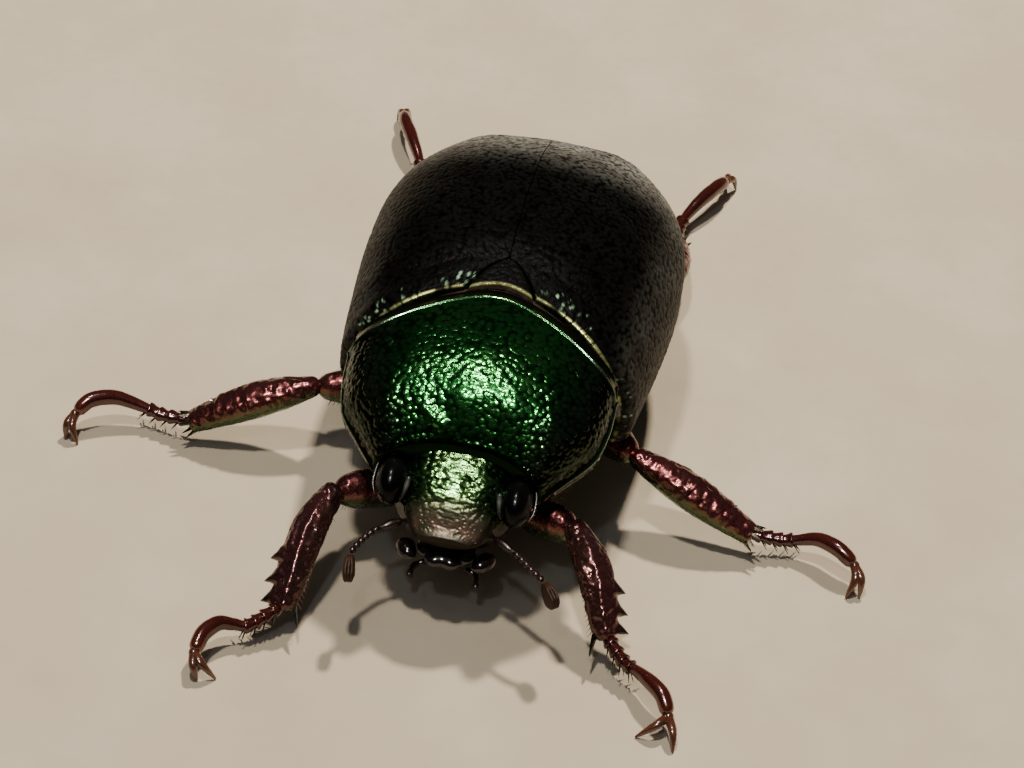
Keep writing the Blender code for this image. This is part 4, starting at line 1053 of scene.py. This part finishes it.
# %% Joints of the legs
LEGS = {
    "fore_left": [
        (2.3, -7.2, 2.6), (3.6, -7.9, 3.0), (4.85, -8.6, 3.45), (6.08, -10.25, 2.8),
        (7.07, -12.3, 1.15), (7.3, -12.6, 1.05), (7.9, -13.0, 0.95), (8.5, -13.4, 0.95),
        (9.1, -14.0, 1.15), (9.75, -14.6, 1.1), (10.05, -15.1, 0.8), (9.0, -16.1, 0), (10.6, -16.5, 0)],
    "fore_right": [
        (-2.3, -7.2, 2.6), (-3.6, -8.1, 3.1), (-5.05, -9.3, 3.65), (-5.72, -11.25, 2.85),
        (-6.0, -14.1, 1.1), (-6.3, -14.5, 0.95), (-7.1, -14.9, 0.85), (-7.7, -15.1, 0.9),
        (-8.25, -15.4, 1.1), (-8.7, -16.1, 1.1), (-8.8, -16.75, 0.9), (-8.5, -17.7, 0), (-7.8, -17.4, 0)],
    "mid_left": [
        (3.0, -1.0, 2.7), (4.8, -1.9, 2.9), (6.5, -3.1, 2.95), (9.0, -3.8, 2.2),
        (12.0, -4.5, 0.95), (12.4, -4.45, 0.85), (13.1, -4.2, 0.8), (13.8, -4.1, 0.85),
        (14.7, -4.15, 1.15), (15.6, -4.6, 1.25), (16.2, -4.95, 1.0), (16.8, -6.0, 0), (16.25, -6.15, 0)],
    "mid_right": [
        (-3.0, -1.0, 2.7), (-5.2, -1.8, 2.9), (-7.55, -2.6, 3.05), (-10.0, -3.2, 2.2),
        (-12.8, -4.05, 0.9), (-13.2, -3.95, 0.8), (-13.9, -3.75, 0.8), (-14.7, -3.6, 0.85),
        (-16.1, -3.7, 1.25), (-17.1, -4.2, 1.3), (-17.5, -4.65, 1.0), (-17.85, -5.55, 0),
        (-17.25, -5.75, 0)],
    "hind_left": [
        (2.9, 4.6, 2.6), (4.2, 6.3, 2.6), (5.5, 8.2, 2.7), (5.8, 10.9, 2.0),
        (5.75, 14.0, 1.0), (5.65, 14.45, 0.9), (5.55, 15.3, 0.8), (5.75, 16.4, 0.8),
        (6.3, 17.5, 1.1), (6.85, 18.6, 1.15), (7.15, 19.4, 0.95), (7.7, 20.2, 0), (7.1, 20.45, 0)],
    "hind_right": [
        (-2.9, 4.6, 2.6), (-4.5, 6.3, 2.7), (-6.1, 8.3, 2.9), (-6.7, 11.2, 2.3),
        (-7.0, 14.8, 1.1), (-7.05, 15.2, 0.9), (-7.1, 16.0, 0.8), (-7.35, 17.0, 0.8),
        (-7.95, 18.1, 1.15), (-8.6, 19.4, 1.15), (-8.85, 20.2, 0.9), (-9.35, 20.95, 0),
        (-8.7, 21.15, 0)],
}
THIGH, SHIN, FOOT, CLAWS = slice(0, 3), slice(2, 5), slice(5, 11), slice(11, 13)
print("legs:", {leg: len(points) for leg, points in LEGS.items()})

# %% [markdown]
# The thigh is a flattened spindle, red on top and olive below, with scattered pits and a fringe
# of bristles along its lower edge. A ring near its root marks the small joint next to the hip.

# %% Hip and thigh
OLIVE = (0.42, 2.4, 0.9)
thigh_width = curve([(0, 0.5), (0.1, 0.6), (0.4, 0.76), (0.7, 0.72), (0.88, 0.56), (1, 0.46)])
thigh_depth = curve([(0, 0.5), (0.1, 0.62), (0.4, 0.9), (0.7, 0.86), (0.88, 0.66), (1, 0.5)])


def underside_tone(grid, start=0.4, end=-0.3):
    """1 where the surface faces down, 0 where it faces up."""
    return smooth_step(start, end, grid_normals(grid, True)[..., 2])


def hip(leg, points):
    """A stout rod from inside the body to the root of the thigh."""
    root, middle = points[THIGH][:2]
    ahead = unit(middle - root)
    inner = root - ahead * 1.8
    inner[2] = root[2] + 0.1
    place = dense_ends(50)
    path = path_through([inner, (inner + root) / 2, root + ahead * 0.1], place)
    size = curve([(0, 0.7), (0.5, 0.76), (1, 0.6)])(place) * closing(place, 0.25, 0.3)
    grid = carry(path, size, size, sides=30)
    grid = raised(grid, -0.02 * pits(grid, 0.3, 60))
    piece(leg + "_hip", [patch(grid)], below_olive, [leg + "_coxa"])


def thigh(leg, points):
    """Widths along the thigh from a curve; the olive tone follows the way the surface faces."""
    root, knee = points[THIGH][[0, -1]]
    place = dense_ends(110, 1.4)
    size = closing(place, 0.1, 0.13) * (1 - 0.22 * bump_at(place, 0.13, 0.025))
    grid = carry(path_through(points[THIGH], place), thigh_width(place) * size,
                 thigh_depth(place) * size, sides=56)
    height = -0.030 * pits(grid, 0.34, 61) + 0.015 * clouds(grid, 0.8, 62)
    skin = raised(grid, height * closing(place, 0.1, 0.1)[:, None])
    roots = path_through(points[THIGH], np.linspace(0.2, 0.85, 16)) - (0, 0, 0.72)
    fringe = horns(roots, (0, 0, -1) + 0.5 * unit(knee - root), 0.45, 0.028, paint=(1.2, 2.5, 1.0))
    piece(leg + "_thigh", [patch(skin, paint=blend(1, OLIVE, underside_tone(grid))), fringe], wine_red,
          [leg + "_femur"])


# %% [markdown]
# The shins differ. The fore shin is a digging blade: broad, with a ridge along its upper face and
# three teeth on its outer edge. The others are spindles, with two slanting rows of spines and a
# crown of spines round the end. Teeth are part of the same grid; spines are horns set in it.

# %% Shins
SHIN_BLACK = np.array((0.18, 0.5, 0.3))
KNEE_OVERLAP = 0.3
TEETH = ((0.63, 0.34), (0.79, 0.40), (0.93, 0.42))
ROWS_OF_SPINES = (0.5, 0.74)
blade_width = curve([(0, 0.46), (0.12, 0.57), (0.4, 0.78), (0.6, 0.74), (0.85, 0.60), (1, 0.48)])
blade_depth = curve([(0, 0.42), (0.12, 0.48), (0.4, 0.60), (0.8, 0.54), (1, 0.40)])
spindle_width = curve([(0, 0.40), (0.1, 0.52), (0.3, 0.75), (0.5, 0.83), (0.65, 0.78), (0.85, 0.62),
                       (1, 0.48)])


def saw(place, spot, fall, rise):
    """One tooth: a slow rise to 1 at its spot, then a steep fall toward the end of the shin."""
    return np.clip(1 - np.abs(place - spot) / np.where(place > spot, fall, rise), 0, 1)


def shin_path(points, place):
    """The direction of a shin, and its path from a little inside the knee."""
    knee, middle, ankle = points[SHIN]
    along = unit(ankle - knee)
    return along, path_through([knee - along * KNEE_OVERLAP, middle, ankle], place)


def fore_shin(leg, points):
    """The outer edge is pushed out by three teeth, each a slow rise and a steep fall."""
    side = np.sign(points[0][0])
    place = dense_ends(230, 1.15)
    along, path = shin_path(points, place)
    outward = unit(np.cross(along, (0, 0, 1)))
    outward = outward * np.sign(outward[0]) * side
    size = closing(place, 0.06, 0.05)
    grid = carry(path, blade_width(place) * size, blade_depth(place) * size, sides=84)
    angle = turns(84)
    across = unit(np.cross(unit(np.gradient(path, axis=0)), (0, 0, 1)))
    toward = np.sign((across * outward).sum(1)).mean()
    facing = np.cos(angle) * toward
    teeth = sum(tall * saw(place, spot, 0.035, 0.085) ** 1.1 for spot, tall in TEETH)
    push = teeth[:, None] * np.clip(facing, 0, 1)[None] ** 5
    grid = grid + (outward + along * 0.6) * push[..., None]
    ridge = 0.09 * bump_at(angle, math.pi * 0.5 + 0.12 * toward, 0.24)[None]
    ridge = ridge * smooth_step(0.1, 0.3, place)[:, None]
    rough = 0.045 * clouds(grid * (1, 0.7, 1), 0.24, 65) - 0.045 * pits(grid, 0.30, 64)
    skin = raised(grid, (ridge + rough * (1 - np.clip(push * 3, 0, 1))) * size[:, None])
    tone = np.maximum(underside_tone(grid, 0.2, -0.5) * 0.5, np.clip(-facing * 2, 0, 1) * 0.12)
    paint = blend(blend(1, OLIVE, tone), SHIN_BLACK, np.clip(push * 3.5, 0, 1))
    root = path_through(points[SHIN], [0.93])[0]
    spur = horns(root - outward * 0.45, -outward * 0.55 + along * 0.95, 1.0, 0.13, SHIN_BLACK)
    rows = path_through(points[SHIN], np.linspace(0.2, 0.9, 18))
    hairs = horns(rows - outward * 0.55, -outward + along * 0.8, 0.36, 0.018, paint=(1.0, 1.3, 0.6))
    piece(leg + "_shin", [patch(skin, paint=paint), spur, hairs], shin_dark, [leg + "_tibia"])


def walking_shin(leg, points):
    """A spindle with ledges where the rows of spines stand."""
    place = dense_ends(170, 1.2)
    along, path = shin_path(points, place)
    ankle = points[SHIN][2]
    level = unit(np.cross(along, (0, 0, 1)))
    above = unit(np.cross(level, along))
    size = closing(place, 0.08, 0.035)
    wide = spindle_width(place) * size
    grid = carry(path, wide, wide * 0.92, sides=60)
    angle = turns(60)
    upper = smooth_step(-0.4, 0.2, np.sin(angle))[None]
    slant = place[:, None] + 0.03 * np.cos(angle)[None]
    ledges = sum(0.03 * saw(slant, spot, 0.012, 0.06) for spot in ROWS_OF_SPINES) * upper
    rough = 0.045 * clouds(grid, 0.24, 67) - 0.040 * pits(grid, 0.30, 66)
    skin = raised(grid, (ledges + rough * (0.25 + 0.75 * upper)) * size[:, None])
    paint = blend(1, OLIVE, underside_tone(grid, 0.6, -0.2))

    def rays(first, last, count):
        """Directions square to the shin, from the first angle to the last."""
        fan = np.linspace(first, last, count)[:, None]
        return level * np.cos(fan) + above * np.sin(fan)

    crown = rays(0.2, 5.9, 9)
    roots = ankle - along * 0.25 + crown * 0.38
    tips = ankle + crown * 0.62 + along * 0.28
    tips[:, 2] = np.maximum(tips[:, 2], 0.12)
    spines = [horns(roots, tips - roots, np.linalg.norm(tips - roots, axis=1), 0.11, SHIN_BLACK)]
    for root in path_through(points[SHIN], ROWS_OF_SPINES):
        fan = rays(0.1, 3.0, 6)
        spines.append(horns(root + fan * 0.48, fan * 0.7 + along, 0.38, 0.06, SHIN_BLACK))
    strip = path_through(points[SHIN], np.linspace(0.2, 0.95, 22)) - (0, 0, 0.2)
    for turn in (-1, 1):
        spines.append(horns(strip + level * 0.42 * turn, level * turn + along * 0.9, 0.34, 0.022,
                            paint=(1.5, 4, 1.5)))
    piece(leg + "_shin", [patch(skin, paint=paint)] + spines, wine_red, [leg + "_tibia"])


# %% [markdown]
# The foot has four short joints, each flared like a cup and holding the next, with two pairs of
# spines below, and a long curved fifth joint. The claws are hooks that meet the floor.

# %% Feet and claws
FOOT_SHARES = (0.0, 0.095, 0.19, 0.28, 0.37)
AMBER_TINT, CLAW_TINT = (2.0, 2.6, 1.6), (1.9, 2.3, 2.3)
cup_size = curve([(0, 0.22), (0.5, 0.28), (0.85, 0.35), (1, 0.33)])
long_size = curve([(0, 0.22), (0.25, 0.29), (0.6, 0.36), (0.85, 0.35), (1, 0.25)])
claw_size = curve([(0, 0.20), (0.3, 0.19), (0.7, 0.13), (1, 0.045)])


def foot(leg, points):
    """Cups along one path, then the long joint: each swells to its far end and closes."""
    middle, ankle = points[SHIN][1:]
    line = points[FOOT].copy()
    line[0] = ankle - unit(ankle - middle) * 0.3
    line[-1] += unit(line[-1] - line[-2]) * 0.22
    patches = []
    for first, last in zip(FOOT_SHARES[:-1], FOOT_SHARES[1:]):
        place = dense_ends(36, 1.5)
        path = path_through(line, first + (last + 0.03 - first) * place)
        size = cup_size(place) * closing(place, 0.1, 0.12)
        cup = carry(path, size, size * 0.92, sides=30)
        patches.append(patch(raised(cup, -0.012 * pits(cup, 0.2, 70)), paint=(0.8, 0.8, 0.8)))
        here, ahead = path[-8], unit(path[-8] - path[10])
        level = unit(np.cross(ahead, (0, 0, 1)))
        roots = np.array([here + level * 0.16 * turn for turn in (-1, -0.5, 0.5, 1)])
        ways = np.array([level * turn * 0.9 + ahead + (0, 0, -1.1) for turn in (-1, -0.4, 0.4, 1)])
        room = np.clip((here[2] - 0.1) / 0.75, 0.35, 0.62)
        patches.append(horns(roots, ways, room, 0.05, paint=(0.3, 0.3, 0.4)))
    place = dense_ends(90, 1.4)
    path = path_through(line, 0.36 + 0.64 * place)
    size = long_size(place) * closing(place, 0.05, 0.08)
    long_joint = carry(path, size * 0.92, size, sides=34)
    amber = np.broadcast_to(smooth_step(0.75, 1.0, place)[:, None], long_joint.shape[:2])
    patches.append(patch(raised(long_joint, 0.01 * clouds(long_joint, 0.4, 71)),
                         paint=blend(1, AMBER_TINT, amber)))
    end, ahead = path[-3], unit(path[-3] - path[-14])
    patches.append(horns(end - (0, 0, 0.15), ahead + (0, 0, -0.6), 0.55, 0.07, paint=(0.6, 0.5, 0.5)))
    piece(leg + "_foot", patches, foot_wine, [leg + "_tarsus"])


def hooks(leg, points):
    """Two horns bent like a question mark, thick at the root, sharp at the floor."""
    before, end = points[FOOT][-2:]
    along = unit(end - before)
    root = end + along * 0.22
    patches = [patch(ball(root, (0.22, 0.22, 0.22), 18, 24))]
    for tip in points[CLAWS] + (0, 0, 0.03):
        span = np.linalg.norm(tip - root)
        bend = root * 0.55 + tip * 0.45 + along * 0.22 + (0, 0, 0.22 * min(span, 1.5))
        place = dense_ends(44, 1.3)
        path = path_through([root, bend, tip], place)
        size = claw_size(place) * closing(place, 0.05, 0.03)
        path[:, 2] = np.maximum(path[:, 2], size * 0.9 + 0.004)
        claw = carry(path, size, size * 0.9, sides=20)
        paler = np.broadcast_to(smooth_step(0.2, 0.8, place)[:, None], claw.shape[:2])
        patches.append(patch(claw, paint=blend(1, CLAW_TINT, paler)))
    piece(leg + "_hooks", patches, claw_amber, [leg + "_claws"])


for leg, points in LEGS.items():
    points = np.array(points, float)
    hip(leg, points)
    thigh(leg, points)
    if leg.startswith("fore"):
        fore_shin(leg, points)
    else:
        walking_shin(leg, points)
    foot(leg, points)
    hooks(leg, points)

# %% [markdown]
# ## Underside
#
# Below, the body is closed by the plates of the breast and the rings of the belly. They are
# pitted and carry short pale hairs. The belly rings overlap like roof tiles toward the tail.

# %% Breast and belly
BELLY_Z, BELLY_END_Y, TAIL_Y = 2.0, 10.6, 12.2
BREAST_END_Y = -2.3
RINGS_FROM_Y, RING_LENGTH = 4.6, 1.18
breast_half = curve([(0, 2.6), (0.3, 4.1), (0.65, 4.5), (1, 3.9)])
breast_low = curve([(0, 3.2), (0.4, 2.3), (1, 2.2)])
breast_high = curve([(0, 3.9), (0.5, 4.5), (1, 5.1)])


def fore_breast():
    """Squared rings under the shield; a low keel runs between the fore legs."""
    share, angle = tube_places(110, 1.2, 150)
    start = SHIELD_FRONT_Y + 0.1
    y = start + (BREAST_END_Y - start) * share
    top, low = breast_high(share) + 0.4, breast_low(share)
    x = breast_half(share) * signed_power(np.cos(angle), 0.7)
    sine = np.sin(angle)
    z = np.where(sine >= 0, top - 0.5 * (1 - sine) ** 2, top - 0.5 + (top - 0.5 - low) * sine)
    grid = np.stack([x, y, z], -1)
    keel = 0.12 * bump_at(x, 0, 0.35) * (sine < 0)
    skin = raised(grid, keel - 0.03 * pits(grid, 0.34, 80) * closing(share, 0.05, 0.05))
    piece("fore_breast", [closed_rings(skin)], below_olive, ["prosternum"])


def trunk_grid(first_y, last_y, low, rows):
    """Rounded rings just inside the wing cases: the upper half under them, the lower half free."""
    share, angle = tube_places(rows, 1.1, 170)
    y = first_y + (last_y - first_y) * share
    half, top, bottom = case_half_width(y) - SHELL - GAP - 0.1, case_top(y) - SHELL - 0.25, low(y)
    x = half * signed_power(np.sin(angle), ROUNDING)
    height = np.where(np.cos(angle) > 0, top - WIDEST_Z, WIDEST_Z - bottom)
    z = WIDEST_Z + height * signed_power(np.cos(angle), ROUNDING)
    return np.stack([x, y, z], -1)


def hind_breast():
    """The breast plate of the mid and hind legs: a middle groove and seams toward the sides."""
    grid = trunk_grid(-2.9, 5.2, curve([(-2.9, 2.6), (0, BELLY_Z), (5.2, 2.05)]), 150)
    x, y, z = np.moveaxis(grid, -1, 0)
    below = smooth_step(WIDEST_Z - 0.5, WIDEST_Z - 2.0, z)
    groove = 0.06 * bump_at(x, 0, 0.10) + 0.05 * bump_at(y - 0.35 * np.abs(x), 2.6, 0.12)
    side_seam = 0.05 * bump_at(y + 0.5 * z, 3.2, 0.12) * smooth_step(3.0, 4.0, np.abs(x))
    skin = raised(grid, -(groove + side_seam + 0.035 * pits(grid, 0.36, 81)) * below)
    piece("hind_breast", [closed_rings(skin)], below_olive, ["thorax"])


def belly():
    """Five overlapping rings: the height falls back at every ring like the edge of a tile."""
    grid = trunk_grid(5.0, BELLY_END_Y + 0.25, curve([(5, 2.1), (8, 2.6), (10.9, 3.8)]), 170)
    x, y, z = np.moveaxis(grid, -1, 0)
    below = smooth_step(WIDEST_Z - 0.3, WIDEST_Z - 1.2, z)
    tile = np.modf((y - RINGS_FROM_Y + 0.03 * x * x) / RING_LENGTH)[0]
    step = 0.10 * (tile - 0.5) * smooth_step(0, 0.06, 1 - tile)
    skin = raised(grid, (step - 0.03 * pits(grid, 0.30, 82)) * below)
    piece("belly_rings", [closed_rings(skin)], below_olive, ["abdomen"])


fore_breast()
hind_breast()
belly()

# %% [markdown]
# The tail plate closes the body below the wing case tips. It is granulate like them, with a
# fringe of straw hairs along its hind edge.

# %% Tail plate
RIM_HALF = 2.2
tail_half = curve([(0, 3.0), (0.4, 2.7), (0.8, 1.7), (1, 0.7)])
tail_top = curve([(0, 4.85), (0.5, 4.8), (1, 4.5)])
tail_low = curve([(0, 3.75), (0.5, 3.8), (1, 4.25)])


def tail_plate():
    """Flat ellipses that shrink toward the tail."""
    share, angle = tube_places(80, 1.3, 120)
    start = BELLY_END_Y - 0.3
    y = start + (TAIL_Y - start) * share - 0.25 * share * np.cos(angle) ** 2
    top, low = tail_top(share), tail_low(share)
    z = (top + low + (top - low) * np.sin(angle)) / 2
    grid = np.stack([tail_half(share) * np.cos(angle), y, z], -1)
    skin = raised(grid, 0.03 * (grains(grid, 0.26, 84) - 0.5))
    rim_x = RIM_HALF * np.cos(np.linspace(0.12, math.pi - 0.12, 40))
    level = np.ones(40)
    roots = np.stack([rim_x, TAIL_Y - 0.1 - 0.28 * (rim_x / 1.15) ** 2, 4.3 * level], 1)
    ways = np.stack([0.2 * rim_x, 0.5 * level, -0.9 * level], 1)
    fringe = horns(roots, ways, 0.5, 0.02, paint=(12, 9, 4))
    piece("tail_plate", [closed_rings(skin), fringe], case_black, ["pygidium"])


tail_plate()

# %% [markdown]
# Short pale hairs cover the breast. Their roots are points of the breast's own surface, picked
# evenly by a low-discrepancy sequence, so that they look scattered but never clump.

# %% Hairs of the breast
IRRATIONAL_STEPS = np.array((0.7548776662, 0.5698402910))
HAIRS_FROM_Y, HAIRS_TO_Y, HAIRS_HALF = -7.6, 4.0, 4.0


def scattered(count, seed):
    """Pairs from 0 to 1 that fill the square evenly: multiples of two irrational steps."""
    order = np.arange(1, count + 1)[:, None]
    return np.modf(order * IRRATIONAL_STEPS + seed)[0]


def breast_hairs():
    """Roots along the lowest line of the breast, which rises as a power of the way outward."""
    along, over = scattered(900, 0.31).T
    y = HAIRS_FROM_Y + (HAIRS_TO_Y - HAIRS_FROM_Y) * along
    x = (over - 0.5) * 2 * HAIRS_HALF
    fore_depth = breast_low(np.clip((y + 8.5) / 5.0, 0, 1))
    depth = np.where(y < BREAST_END_Y - 0.5, fore_depth, BELLY_Z + 0.02)
    roots = np.stack([x, y, depth + 0.90 * (np.abs(x) / HAIRS_HALF) ** 2.6 + 0.05], 1)
    ways = np.stack([0.25 * x, 0.6 + 0 * x, -0.9 + 0 * x], 1)
    piece("breast_hairs", [horns(roots, ways, 0.5, 0.018)], hair_straw)


breast_hairs()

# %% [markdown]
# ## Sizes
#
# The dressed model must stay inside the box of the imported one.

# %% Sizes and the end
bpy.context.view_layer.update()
